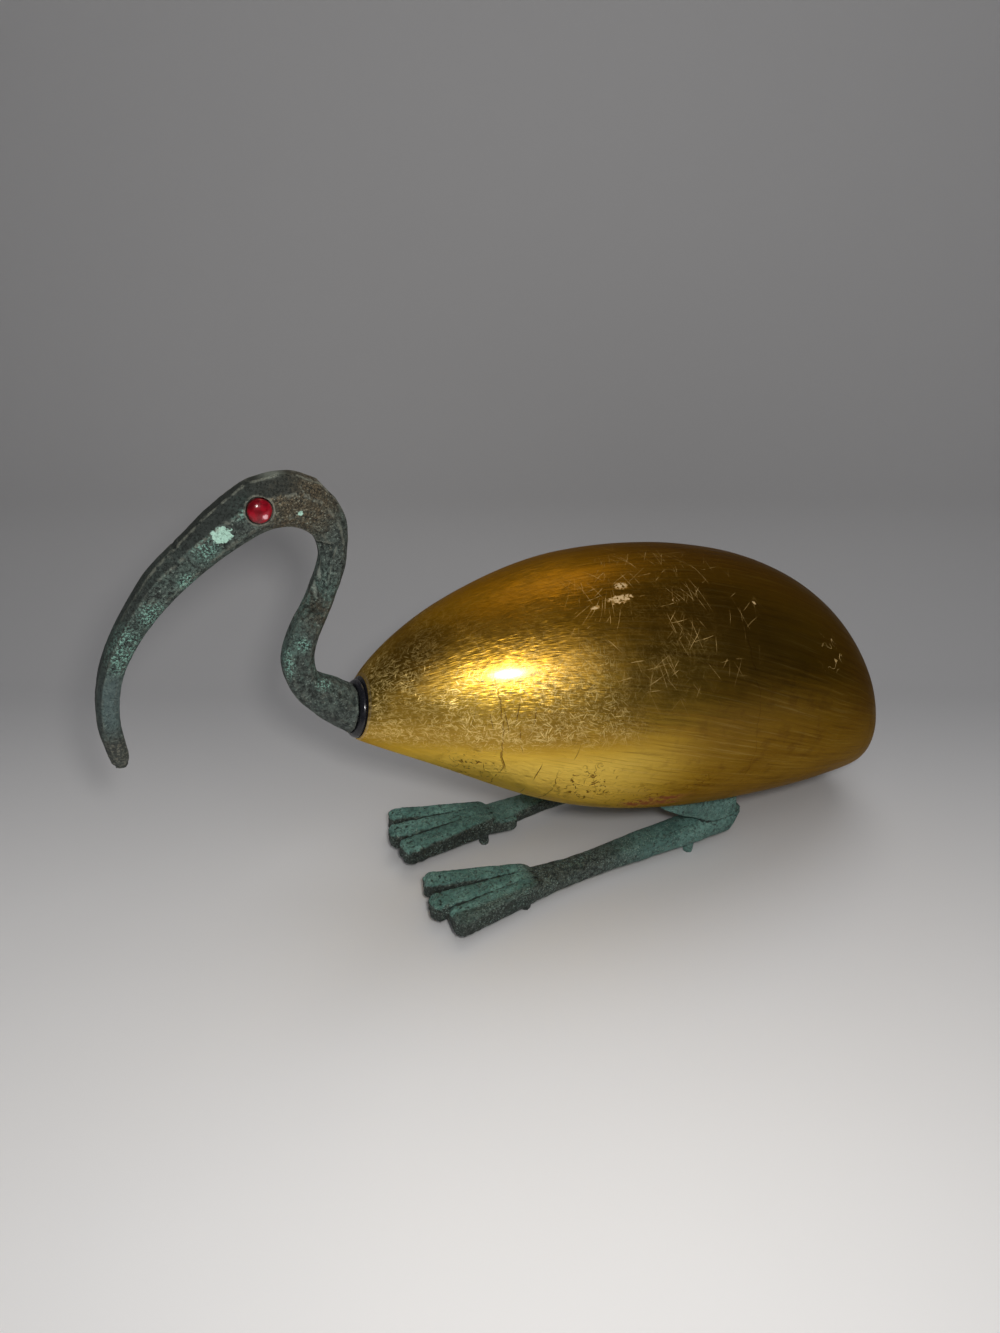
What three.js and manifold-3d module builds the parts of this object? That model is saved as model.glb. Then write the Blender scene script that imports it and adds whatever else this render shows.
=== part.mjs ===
// Ibis figure at rest: a gilded wooden body carried by two folded bronze legs, and a bronze neck,
// head and long curved beak. Millimetres, +Z up, the beak points to -X and the bird's right is +Y.

import * as THREE from "three";
import { mergeVertices } from "three/addons/utils/BufferGeometryUtils.js";
import Module from "manifold-3d";

const wasm = await Module();
wasm.setup();

// Clearances
const seatGap = 0.3;
const holeClearance = 0.3;

// Body: the middle of its front face, then the side outline as distances back and up from there
const frontFaceX = -41.4;
const frontFaceZ = 72.3;
const frontFaceRadius = 7.7;
const frontFaceLean = 15;
const leanFadeLength = 30;
const crestBack = 63.4;
const crestUp = 29.2;
const bellyBack = 139.8;
const bellyDown = 58.8;
const tailBack = 168.6;
const tailDown = 51.4;
const bodyWidthToHeight = 0.96;
const shoulderPull = 15;
const shoulderSteepness = 53;
const crestFrontPull = 20;
const crestRearPull = 49;
const tailUpperPull = 60;
const breastPull = 54;
const breastSteepness = 32;
const bellyFrontPull = 92;
const bellyRearPull = 28.8;
const bellySlope = 5.6;
const tailLowerPull = 15;
const bodySides = 44;
const bodySteps = 34;
const outlineHalvings = 40;

// Collar between the body and the neck
const collarRadius = 7.5;
const collarNeckRadius = 6.2;
const collarThickness = 1.2;
const collarSides = 40;
const collarSteps = 8;

// Neck bolt, screwed into the wood behind the collar and the casting before it
const neckBoltRadius = 2;
const neckBoltInWood = 24;
const neckBoltInNeck = 5.5;

// Neck, head and beak: each station lies ahead of and above the neck's root
const castingStations = [
  { name: "neck root", ahead: 0, up: 0, thick: 12.2, wide: 11.6, square: 2.2 },
  { name: "neck foot", ahead: 5.8, up: 5.1, thick: 10.3, wide: 9.4, square: 2.4 },
  { name: "neck heel", ahead: 10.6, up: 10.2, thick: 7.8, wide: 8, square: 2.8 },
  { name: "breast bend", ahead: 11.9, up: 16.7, thick: 7.5, wide: 7.2, square: 3 },
  { name: "lower neck", ahead: 10.1, up: 23.2, thick: 6.8, wide: 6.8, square: 3.2 },
  { name: "middle neck", ahead: 5, up: 32.5, thick: 5.9, wide: 6.7, square: 3.2 },
  { name: "upper neck", ahead: 1.2, up: 42.5, thick: 6, wide: 7, square: 3.2 },
  { name: "nape", ahead: 2, up: 51.2, thick: 9.1, wide: 8.2, square: 3 },
  { name: "crown", ahead: 7.5, up: 57.2, thick: 11.8, wide: 9.2, square: 2.8 },
  { name: "eye", ahead: 15.3, up: 58, thick: 11.9, wide: 9.4, square: 3 },
  { name: "brow", ahead: 22, up: 55.3, thick: 10.9, wide: 8.6, square: 3 },
  { name: "beak base", ahead: 29.9, up: 50.2, thick: 9.1, wide: 7.6, square: 3 },
  { name: "upper beak", ahead: 40.6, up: 41.9, thick: 7.7, wide: 6.7, square: 3 },
  { name: "middle beak", ahead: 49.2, up: 31.7, thick: 5.9, wide: 6, square: 3 },
  { name: "lower beak", ahead: 54.3, up: 22.1, thick: 5.1, wide: 5.5, square: 3 },
  { name: "beak bend", ahead: 56.4, up: 11.7, thick: 5, wide: 5, square: 3 },
  { name: "beak tip", ahead: 55.7, up: -0.8, thick: 4.1, wide: 4, square: 2.6 },
];
const castingSides = 18;
const castingStepsPerStation = 4;
const rootTwistShare = 0.09;
const beakTipNoseShare = 0.012;
const beakTipNoseLeast = 0.72;

// Eyes: domed glass stones in round sockets, placed from the neck's root
const eyeRadius = 2.75;
const eyeDome = 1.5;
const eyeSeatDepth = 1.4;
const eyeAhead = 17.3;
const eyeUp = 57.6;
const eyeSides = 28;
const eyeDomeSteps = 5;

// Feet and legs, drawn from the middle of each ankle on the ground. Turns are in degrees towards
// the bird's right, and each toe is given by its turn from the foot's own direction
const feet = {
  left: {
    side: -1, x: 1.7, y: -14.4, heelTurn: 1.5, bow: 0,
    toeTurn: 7, pegBack: -1.3, pegRight: 0, halluxLength: 6,
    toes: [
      { name: "outer", turn: -17.5, length: 26.6, wide: 9 },
      { name: "middle", turn: 0, length: 30, wide: 7.4 },
      { name: "inner", turn: 18.5, length: 31, wide: 7.2 },
    ],
  },
  right: {
    side: 1, x: 2.2, y: 18.3, heelTurn: 0, bow: 2.6,
    toeTurn: 10.5, pegBack: -0.9, pegRight: -0.8, halluxLength: 10,
    toes: [
      { name: "inner", turn: -17, length: 29.6, wide: 8.2 },
      { name: "middle", turn: 0, length: 30.8, wide: 7.4 },
      { name: "outer", turn: 16, length: 30.8, wide: 6.4 },
    ],
  },
};
const pegRadius = 1.6;
const pegHeight = 6.5;
const pegBury = 1.1;
const pegInside = 3;
const pegSides = 16;
const rearPegFromHeel = 18;
const tarsusLength = 74.8;
const tarsusSquareness = 2.8;
const tarsusSteps = 16;
const heelCut = 5;
const heelCutPower = 10;
const heelNoseShare = 0.04;
const heelNoseLeast = 0.7;
const ankleWidth = 11;
const ankleHeight = 5.6;
const waistWidth = 7.8;
const waistHeight = 5.7;
const hockWidth = 9.4;
const hockHeight = 8.8;
const thighRearInset = 4;
const thighReach = 27;
const thighLift = 2;
const thighFrontHeight = 3.4;
const thighWidth = 8.4;
const thighTopTrim = 4;
const thighSquareness = 3.4;
const thighSteps = 12;
const thighNoseShare = 0.35;
const thighNoseLeast = 0.3;
const toeRootInset = 2;
const toeRootSpread = 2.6;
const toeFan = 17;
const toeRootWidth = 4.8;
const toeRootHeight = 7.2;
const toeTipHeight = 5.6;
const toeTipDrop = 0.8;
const toeNoseShare = 0.13;
const toeNoseLeast = 0.6;
const toeNoseHeightShare = 0.6;
const toeSquareness = 3;
const toeSteps = 8;
const halluxInset = 1;
const halluxNoseShare = 0.2;
const halluxWidth = 4.2;
const halluxHeight = 4.4;
const halluxOffset = 2.5;
const halluxTurn = 9;
const footSides = 12;

// Leg bolts, upright through the body's underside into the hock
const legBoltRadius = 1.5;
const legBoltInWood = 15;
const legBoltInHock = 5;
const legBoltFromHeel = 15.8;

// Sides of the round holes
const holeSides = 20;

// Bolt threads, as shares of each bolt's radius
const boltSides = 8;
const boltStepsPerRadius = 4;
const boltWaist = 2;
const boltTipShare = 0.2;
const coarsePitch = 1;
const coarseDepth = 0.25;
const finePitch = 0.5;
const fineDepth = 0.1;

const gildedWood = { color: 0xb8902e, roughness: 0.36, metalness: 0.9 };
const patinaBronze = { color: 0x3f5a50, roughness: 0.8, metalness: 0.35 };
const redGlass = { color: 0x9a0f1c, roughness: 0.12, metalness: 0 };
const blackLacquer = { color: 0x0d0e11, roughness: 0.15, metalness: 0 };
const zincSteel = { color: 0x9a9c9c, roughness: 0.4, metalness: 0.9 };

const point = (x, y, z) => new THREE.Vector3(x, y, z);
const radians = THREE.MathUtils.degToRad;

// A closed three.js geometry as a solid, with its faces turned outward
function solidFrom(geometry) {
  const bare = geometry.clone();
  bare.deleteAttribute("normal");
  bare.deleteAttribute("uv");
  const welded = mergeVertices(bare, 1e-4);
  const corners = welded.attributes.position;
  const faces = [];
  for (let i = 0; i < welded.index.count; i += 3) {
    const face = [0, 1, 2].map((k) => welded.index.getX(i + k));
    if (new Set(face).size === 3) faces.push(face);
  }
  const at = (i) => point(corners.getX(i), corners.getY(i), corners.getZ(i));
  const volume = faces.reduce((sum, [a, b, c]) => sum + at(a).dot(at(b).cross(at(c))), 0);
  const outward = volume > 0 ? faces : faces.map(([a, b, c]) => [a, c, b]);
  const mesh = new wasm.Mesh({
    numProp: 3,
    vertProperties: new Float32Array(corners.array),
    triVerts: new Uint32Array(outward.flat()),
  });
  return new wasm.Manifold(mesh);
}

function geometryFrom(solid) {
  const mesh = solid.getMesh();
  const geometry = new THREE.BufferGeometry();
  geometry.setAttribute("position", new THREE.BufferAttribute(mesh.vertProperties, 3));
  geometry.setIndex(new THREE.BufferAttribute(mesh.triVerts, 1));
  geometry.computeVertexNormals();
  return geometry;
}

// A cylinder whose points are moved by place(along, across, up): along runs from 0 to 1 down its
// length, and across and up lie on a rounded square of the given squareness, 2 being an ellipse
function loft(sides, steps, place, squarenessAt = () => 2) {
  const geometry = new THREE.CylinderGeometry(1, 1, 1, sides, steps);
  const corners = geometry.attributes.position;
  for (let i = 0; i < corners.count; i += 1) {
    const along = 0.5 - corners.getY(i);
    const radius = Math.hypot(corners.getX(i), corners.getZ(i));
    const angle = Math.atan2(corners.getZ(i), corners.getX(i));
    const power = 2 / squarenessAt(along);
    const across = radius * Math.sign(Math.cos(angle)) * Math.abs(Math.cos(angle)) ** power;
    const up = radius * Math.sign(Math.sin(angle)) * Math.abs(Math.sin(angle)) ** power;
    corners.setXYZ(i, ...place(along, across, up).toArray());
  }
  return solidFrom(geometry);
}

// A round hole or pin of one radius between two points
function rod(from, to, radius, sides = holeSides) {
  const axis = to.clone().sub(from);
  const geometry = new THREE.CylinderGeometry(radius, radius, axis.length(), sides);
  const middle = from.clone().add(to).multiplyScalar(0.5);
  geometry.applyQuaternion(new THREE.Quaternion().setFromUnitVectors(point(0, 1, 0), axis.normalize()));
  geometry.translate(middle.x, middle.y, middle.z);
  return solidFrom(geometry);
}

// Narrows a section to a rounded nose over the last share of its length, down to a least size
function nose(along, share, least) {
  const into = THREE.MathUtils.clamp((along - 1 + share) / share, 0, 1);
  return Math.max(least, Math.sqrt(1 - into * into));
}

// The body's outline: its crest line above and its belly line below, as two curves each
const frontFace = point(frontFaceX, 0, frontFaceZ);
const crest = point(frontFaceX + crestBack, 0, frontFaceZ + crestUp);
const belly = point(frontFaceX + bellyBack, 0, frontFaceZ - bellyDown);
const tail = point(frontFaceX + tailBack, 0, frontFaceZ - tailDown);
const polar = (start, length, angle) =>
  start.clone().add(point(length * Math.cos(radians(angle)), 0, length * Math.sin(radians(angle))));
const faceTop = point(frontFaceX, 0, frontFaceZ + frontFaceRadius);
const faceBottom = point(frontFaceX, 0, frontFaceZ - frontFaceRadius);
const upperLine = [
  new THREE.CubicBezierCurve3(
    faceTop, polar(faceTop, shoulderPull, shoulderSteepness), polar(crest, -crestFrontPull, 0), crest),
  new THREE.CubicBezierCurve3(crest, polar(crest, crestRearPull, 0), polar(tail, tailUpperPull, 90), tail),
];
const lowerLine = [
  new THREE.CubicBezierCurve3(
    faceBottom, polar(faceBottom, breastPull, -breastSteepness),
    polar(belly, -bellyFrontPull, -bellySlope), belly),
  new THREE.CubicBezierCurve3(
    belly, polar(belly, bellyRearPull, -bellySlope), polar(tail, -tailLowerPull, 90), tail),
];

// Height of an outline above a given place along the body, found by halving
function heightAt(line, x) {
  const curve = x <= line[0].v3.x ? line[0] : line[1];
  let low = 0;
  let high = 1;
  for (let i = 0; i < outlineHalvings; i += 1) {
    const middle = (low + high) / 2;
    if (curve.getPoint(middle).x < x) low = middle;
    else high = middle;
  }
  return curve.getPoint(high).z;
}

// Half height and middle of the body's upright section; swell adds a margin all round
function bodySection(x, swell = 0) {
  const top = heightAt(upperLine, x);
  const bottom = heightAt(lowerLine, x);
  const half = (top - bottom) / 2;
  return { middle: (top + bottom) / 2, half: half + swell, halfWidth: half * bodyWidthToHeight + swell };
}

function bodyLoft(swell = 0) {
  return loft(bodySides, bodySteps, (along, across, up) => {
    const x = frontFaceX + (tailBack * (1 - Math.cos(Math.PI * along))) / 2;
    const section = bodySection(x, swell);
    const fade = THREE.MathUtils.clamp((x - frontFaceX) / leanFadeLength, 0, 1);
    const lean = Math.tan(radians(frontFaceLean)) * (1 - fade) ** 2;
    const rise = up * section.half;
    const stretch = along === 1 ? swell : 0;
    return point(x + lean * rise + stretch, across * section.halfWidth, section.middle + rise);
  });
}

// Height of the body's underside over a place on the ground
function undersideAt(x, y) {
  const section = bodySection(x);
  return section.middle - section.half * Math.sqrt(Math.max(0, 1 - (y / section.halfWidth) ** 2));
}

// The neck joint's axis runs back and down into the body
const jointAxis = point(Math.cos(radians(frontFaceLean)), 0, -Math.sin(radians(frontFaceLean)));
const alongJoint = (distance) => frontFace.clone().addScaledVector(jointAxis, distance);
const collarMiddle = alongJoint(-seatGap - collarThickness / 2);
const neckRoot = alongJoint(-2 * seatGap - collarThickness);

// A bolt with a coarse thread that ends in a point, a plain waist and a fine thread
function hangerBolt(from, to, radius, woodLength) {
  const axis = to.clone().sub(from);
  const length = axis.length();
  const turn = new THREE.Quaternion().setFromUnitVectors(point(0, 0, 1), axis.normalize());
  const steps = Math.ceil((length / radius) * boltStepsPerRadius);
  return loft(boltSides, steps, (along, across, up) => {
    const distance = along * length;
    const coarse = distance < woodLength - radius * boltWaist;
    const fine = distance > woodLength + (radius * boltWaist) / 2;
    const pitch = radius * (coarse ? coarsePitch : finePitch);
    const turns = distance / pitch - Math.atan2(up, across) / (2 * Math.PI);
    const ridge = Math.abs(THREE.MathUtils.euclideanModulo(turns, 1) - 0.5) * 2;
    const depth = coarse ? coarseDepth : fineDepth;
    const cut = coarse || fine ? 1 - depth * ridge : 1;
    const tip = Math.min(1, boltTipShare + distance / (radius * 2));
    const size = radius * cut * tip;
    return point(across * size, up * size, distance).applyQuaternion(turn).add(from);
  });
}

// Neck, head and beak as one casting
const castingPath = new THREE.CatmullRomCurve3(
  castingStations.map(({ ahead, up }) => point(neckRoot.x - ahead, 0, neckRoot.z + up)));
const castingSizes = new THREE.CatmullRomCurve3(
  castingStations.map(({ thick, wide, square }) => point(thick, wide, square)));

function castingFrame(along) {
  const tangent = castingPath.getTangent(along);
  const rise = point(-tangent.z, 0, tangent.x);
  const rootRise = point(-jointAxis.z, 0, jointAxis.x).negate();
  const twist = THREE.MathUtils.smoothstep(along, 0, rootTwistShare);
  return rootRise.lerp(rise, twist).normalize();
}

function headAndNeckLoft() {
  const steps = (castingStations.length - 1) * castingStepsPerStation;
  return loft(castingSides, steps, (along, across, up) => {
    const size = castingSizes.getPoint(along);
    const end = nose(along, beakTipNoseShare, beakTipNoseLeast);
    return castingPath.getPoint(along)
      .addScaledVector(castingFrame(along), (up * end * size.x) / 2)
      .add(point(0, (across * end * size.y) / 2, 0));
  }, (along) => castingSizes.getPoint(along).z);
}

// Half width of the head where the eyes sit
const eyeStation = castingStations.findIndex(({ name }) => name === "eye") / (castingStations.length - 1);
const headHalfWidth = castingSizes.getPoint(eyeStation).y / 2;
const eyePlace = point(neckRoot.x - eyeAhead, 0, neckRoot.z + eyeUp);
const eyeSeatY = headHalfWidth - eyeSeatDepth;

function eyeStone(side) {
  const domeStart = eyeSeatDepth - seatGap;
  const profile = [new THREE.Vector2(0, 0), new THREE.Vector2(eyeRadius, 0)];
  for (let i = 0; i <= eyeDomeSteps; i += 1) {
    const angle = (i / eyeDomeSteps) * (Math.PI / 2);
    const height = domeStart + eyeDome * Math.sin(angle);
    profile.push(new THREE.Vector2(eyeRadius * Math.cos(angle), height));
  }
  const geometry = new THREE.LatheGeometry(profile, eyeSides);
  geometry.rotateX(side > 0 ? 0 : Math.PI);
  geometry.translate(eyePlace.x, side * (eyeSeatY + seatGap), eyePlace.z);
  return solidFrom(geometry);
}

function eyeSocket(side) {
  const reach = headHalfWidth + eyeSeatDepth;
  return rod(
    point(eyePlace.x, side * eyeSeatY, eyePlace.z), point(eyePlace.x, side * reach, eyePlace.z),
    eyeRadius + holeClearance, eyeSides);
}

// Collar: a ring that swells from the neck's radius to the body's, bored for the neck bolt
function collarSolid() {
  const bore = neckBoltRadius + holeClearance;
  const profile = [new THREE.Vector2(bore, -collarThickness / 2)];
  for (let i = 0; i <= collarSteps; i += 1) {
    const angle = (i / collarSteps) * (Math.PI / 2);
    const radius = collarNeckRadius + (collarRadius - collarNeckRadius) * Math.sin(angle);
    profile.push(new THREE.Vector2(radius, collarThickness / 2 - collarThickness * Math.cos(angle)));
  }
  profile.push(new THREE.Vector2(bore, collarThickness / 2), profile[0].clone());
  const geometry = new THREE.LatheGeometry(profile, collarSides);
  geometry.applyQuaternion(new THREE.Quaternion().setFromUnitVectors(point(0, 1, 0), jointAxis));
  geometry.translate(collarMiddle.x, collarMiddle.y, collarMiddle.z);
  return solidFrom(geometry);
}

// A place measured back from an ankle and to the bird's right of it
const fromAnkle = (foot, back, right, z = 0) => point(foot.x + back, foot.y + right, z);

// The middle line of a folded leg, as the distance to the bird's right at a distance back
const swayAt = (foot, back) =>
  Math.tan(radians(foot.heelTurn)) * back + foot.bow * Math.sin((Math.PI * back) / tarsusLength);

// A toe: a rounded bar from one place to another, with its underside at given heights
function footBar(foot, start, end, noseShare) {
  const direction = new THREE.Vector2(end.back - start.back, end.right - start.right).normalize();
  return loft(footSides, toeSteps, (along, across, up) => {
    const between = (key) => THREE.MathUtils.lerp(start[key], end[key], along);
    const size = nose(along, noseShare, toeNoseLeast);
    const sideways = (between("wide") / 2) * across * size;
    const middle = between("z") + between("tall") / 2;
    const rise = (between("tall") / 2) * up * THREE.MathUtils.lerp(1, size, toeNoseHeightShare);
    const back = between("back") - direction.y * sideways;
    const right = between("right") + direction.x * sideways;
    return fromAnkle(foot, back, right, middle + rise);
  }, () => toeSquareness);
}

const footSole = pegHeight - pegBury;

function toe(foot, { turn, length, wide }) {
  const angle = radians(foot.toeTurn + turn);
  const root = {
    back: toeRootInset,
    right: (toeRootSpread * turn) / toeFan,
    z: footSole,
    wide: toeRootWidth,
    tall: toeRootHeight,
  };
  const tip = {
    back: -length * Math.cos(angle),
    right: length * Math.sin(angle),
    z: footSole - toeTipDrop,
    wide,
    tall: toeTipHeight,
  };
  return footBar(foot, root, tip, toeNoseShare);
}

// The short hind toe on the foot's inner side, pointing back
function hallux(foot) {
  const inward = -foot.side;
  const drift = foot.halluxLength * Math.sin(radians(halluxTurn));
  const size = { z: footSole, wide: halluxWidth, tall: halluxHeight };
  const root = { ...size, back: -halluxInset, right: inward * halluxOffset };
  const tip = { ...size, back: foot.halluxLength - halluxInset, right: inward * (halluxOffset + drift) };
  return footBar(foot, root, tip, halluxNoseShare);
}

// The folded leg from the ankle back to the hock, narrow at its waist and widening to the hock
function tarsus(foot) {
  const sizes = new THREE.CatmullRomCurve3([
    point(ankleWidth, ankleHeight, 0),
    point(waistWidth, waistHeight, 0),
    point((waistWidth + hockWidth) / 2, (2 * waistHeight + hockHeight) / 3, 0),
    point(hockWidth, (waistHeight + hockHeight) / 2, 0),
    point(hockWidth, hockHeight, 0),
  ]);
  return loft(footSides, tarsusSteps, (along, across, up) => {
    const size = sizes.getPoint(along);
    const end = nose(along, heelNoseShare, heelNoseLeast);
    const back = along * tarsusLength - (heelCut * along ** heelCutPower * (1 - up)) / 2;
    const right = swayAt(foot, back) + (across * end * size.x) / 2;
    return fromAnkle(foot, back, right, footSole + (size.y / 2) * (1 + up * end));
  }, () => tarsusSquareness);
}

// The thigh folds forward from the hock and lies against the body's underside, which trims its top
function thigh(foot) {
  return loft(footSides, thighSteps, (along, across, up) => {
    const back = tarsusLength - thighRearInset - along * thighReach;
    const middle = fromAnkle(foot, back, swayAt(foot, back));
    const underside = undersideAt(middle.x, middle.y);
    const floor = THREE.MathUtils.lerp(footSole + thighLift, underside - thighFrontHeight, along);
    const half = (underside + thighTopTrim - floor) / 2;
    const end = nose(along, thighNoseShare, thighNoseLeast);
    return point(middle.x, middle.y + (across * thighWidth * end) / 2, floor + half * (1 + up));
  }, () => thighSquareness);
}

function legBoltEnds(foot) {
  const back = tarsusLength - legBoltFromHeel;
  const seat = fromAnkle(foot, back, swayAt(foot, back));
  seat.setZ(undersideAt(seat.x, seat.y));
  return {
    low: seat.clone().add(point(0, 0, -legBoltInHock)),
    high: seat.clone().add(point(0, 0, legBoltInWood)),
  };
}

function legBoltHole(foot) {
  const { low, high } = legBoltEnds(foot);
  const end = point(0, 0, seatGap);
  return rod(low.sub(end), high.add(end), legBoltRadius + holeClearance);
}

function legSolid(foot, clearedBody) {
  const pegTop = pegHeight + pegInside;
  const peg = (back, right) =>
    rod(fromAnkle(foot, back, right), fromAnkle(foot, back, right, pegTop), pegRadius, pegSides);
  const rearPegBack = tarsusLength - rearPegFromHeel;
  const cast = [
    ...foot.toes.map((each) => toe(foot, each)), hallux(foot), thigh(foot),
    peg(foot.pegBack, foot.pegRight), peg(rearPegBack, swayAt(foot, rearPegBack)),
  ].reduce((solid, piece) => solid.add(piece), tarsus(foot));
  return cast.subtract(clearedBody).subtract(legBoltHole(foot));
}

const neckBoltWood = alongJoint(neckBoltInWood);
const neckBoltFront = neckRoot.clone().addScaledVector(jointAxis, -neckBoltInNeck);
const neckBoltHole = rod(
  alongJoint(neckBoltInWood + seatGap), neckBoltFront.clone().addScaledVector(jointAxis, -seatGap),
  neckBoltRadius + holeClearance);
const clearedBody = bodyLoft(seatGap);
const bodySolid = Object.values(feet).reduce(
  (solid, foot) => solid.subtract(legBoltHole(foot)), bodyLoft().subtract(neckBoltHole));
const headAndNeck = [neckBoltHole, eyeSocket(-1), eyeSocket(1)].reduce(
  (solid, hole) => solid.subtract(hole), headAndNeckLoft());

const group = new THREE.Group();

function addPiece(name, solid, finish) {
  const mesh = new THREE.Mesh(geometryFrom(solid), new THREE.MeshStandardMaterial(finish));
  mesh.name = name;
  group.add(mesh);
}

addPiece("body", bodySolid, gildedWood);
addPiece("neck_collar", collarSolid(), blackLacquer);
addPiece("head_and_neck", headAndNeck, patinaBronze);
addPiece("neck_bolt", hangerBolt(neckBoltWood, neckBoltFront, neckBoltRadius, neckBoltInWood), zincSteel);
for (const [side, foot] of Object.entries(feet)) {
  const { low, high } = legBoltEnds(foot);
  addPiece(`${side}_eye`, eyeStone(foot.side), redGlass);
  addPiece(`${side}_leg`, legSolid(foot, clearedBody), patinaBronze);
  addPiece(`${side}_leg_bolt`, hangerBolt(high, low, legBoltRadius, legBoltInWood), zincSteel);
}

// The origin lies under the middle of the whole figure, on the ground
const box = new THREE.Box3().setFromObject(group);
const centre = box.getCenter(new THREE.Vector3());
group.position.set(-centre.x, -centre.y, -box.min.z);

export default group;
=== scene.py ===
"""Looks of the resting ibis figure: gilded body, bronze castings, glass eyes and a lacquered collar.

Sizes are millimetres until a mesh is made. +Z is up, the beak points to -X and the bird's right is +Y.
"""

import math

import bpy
import numpy as np
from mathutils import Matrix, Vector, noise


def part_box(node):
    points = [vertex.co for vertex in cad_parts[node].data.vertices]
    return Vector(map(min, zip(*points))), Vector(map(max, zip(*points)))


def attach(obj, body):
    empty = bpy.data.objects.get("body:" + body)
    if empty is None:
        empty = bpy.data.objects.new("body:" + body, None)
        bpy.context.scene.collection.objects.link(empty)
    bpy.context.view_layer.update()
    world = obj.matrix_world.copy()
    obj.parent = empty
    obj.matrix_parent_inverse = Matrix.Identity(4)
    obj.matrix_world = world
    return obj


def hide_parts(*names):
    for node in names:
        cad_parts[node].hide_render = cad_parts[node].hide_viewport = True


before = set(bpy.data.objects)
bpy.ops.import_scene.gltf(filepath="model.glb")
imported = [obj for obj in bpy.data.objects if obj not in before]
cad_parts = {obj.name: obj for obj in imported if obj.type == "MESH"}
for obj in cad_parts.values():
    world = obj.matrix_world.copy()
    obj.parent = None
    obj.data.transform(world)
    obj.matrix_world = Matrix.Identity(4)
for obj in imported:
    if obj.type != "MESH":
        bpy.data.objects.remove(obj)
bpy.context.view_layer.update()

MM = 0.001
SEAT_GAP = 0.3

# Body: the middle of its front face, then its side outline as distances back and up from there
TAIL_BACK = 168.6
FRONT_FACE_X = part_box("body")[1].x / MM - TAIL_BACK
FRONT_FACE_Z = 72.3
FRONT_FACE_RADIUS = 7.7
FRONT_FACE_LEAN = 15
LEAN_FADE_LENGTH = 30
FRONT_EDGE_ROUND = 0.7
CREST_BACK = 63.4
CREST_UP = 29.2
BELLY_BACK = 139.8
BELLY_DOWN = 58.8
TAIL_DOWN = 51.4
BODY_WIDTH_TO_HEIGHT = 0.96
SHOULDER_PULL = 15
SHOULDER_STEEPNESS = 53
CREST_FRONT_PULL = 20
CREST_REAR_PULL = 49
TAIL_UPPER_PULL = 60
BREAST_PULL = 54
BREAST_STEEPNESS = 32
BELLY_FRONT_PULL = 92
BELLY_REAR_PULL = 28.8
BELLY_SLOPE = 5.6
TAIL_LOWER_PULL = 15
BODY_SIDES = 208
BODY_STEPS = 250
# A row of noise is its wavelength, depth and seed
CARVING_NOISE = [(38, 0.22, 1), (11, 0.05, 2)]

# Collar between the body and the neck
COLLAR_RADIUS = 7.5
COLLAR_NECK_RADIUS = 6.2
COLLAR_THICKNESS = 1.2
COLLAR_BORE = 2.3
COLLAR_SIDES = 128
COLLAR_STEPS = 16
COLLAR_BORE_STEPS = 4
LACQUER_OVER_BODY = 0.3

# Bolt holes
HOLE_RADIUS_NECK = 2.3
HOLE_RADIUS_LEG = 1.8
NECK_BOLT_IN_WOOD = 24
NECK_BOLT_IN_NECK = 5.5
LEG_BOLT_IN_WOOD = 15
LEG_BOLT_IN_HOCK = 5
LEG_BOLT_FROM_HEEL = 15.8

# Neck, head and beak: name, ahead of and above the neck's root, thickness and width. The last two
# numbers say how wide the bevels on the outer and inner edges are: 2 is a sharp edge, 1 is all bevel
CASTING_STATIONS = [
    ("neck root", 0, 0, 12.2, 11.6, 1.42, 1.42),
    ("neck foot", 5.8, 5.1, 10.3, 9.4, 1.46, 1.46),
    ("neck heel", 10.6, 10.2, 7.8, 8, 1.55, 1.55),
    ("breast bend", 11.9, 16.7, 7.5, 7.2, 1.58, 1.6),
    ("lower neck", 10.1, 23.2, 6.8, 6.8, 1.58, 1.62),
    ("middle neck", 5, 32.5, 5.9, 6.7, 1.6, 1.58),
    ("upper neck", 1.2, 42.5, 6, 7, 1.6, 1.5),
    ("nape", 2, 51.2, 9.1, 8.2, 1.45, 1.55),
    ("crown", 7.5, 57.2, 11.8, 9.2, 1.36, 1.6),
    ("eye", 15.3, 58, 11.9, 9.4, 1.3, 1.62),
    ("brow", 22, 55.3, 10.9, 8.6, 1.32, 1.62),
    ("beak base", 29.9, 50.2, 9.1, 7.6, 1.45, 1.64),
    ("upper beak", 40.6, 41.9, 7.7, 6.7, 1.56, 1.64),
    ("middle beak", 49.2, 31.7, 5.9, 6, 1.56, 1.62),
    ("lower beak", 54.3, 22.1, 5.1, 5.5, 1.54, 1.6),
    ("beak bend", 56.4, 11.7, 5, 5, 1.52, 1.58),
    ("beak tip", 55.7, -0.8, 4.1, 4, 1.46, 1.5),
]
CASTING_SIDES = 112
CASTING_STEPS_PER_STATION = 22
CASTING_EDGE_CRISPNESS = 26
ROOT_TWIST_SHARE = 0.09
# A nose is the share of the length over which an end narrows, and how narrow it gets
TIP_NOSE = (0.012, 0.72)
CASTING_NOISE = [(9, 0.16, 3), (3.2, 0.08, 4), (1.1, 0.05, 5)]
TIP_NOISE = [(1.3, 0.28, 6)]
TIP_NOISE_AHEAD = 40
TIP_NOISE_DROP = (-6, 2)

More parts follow.
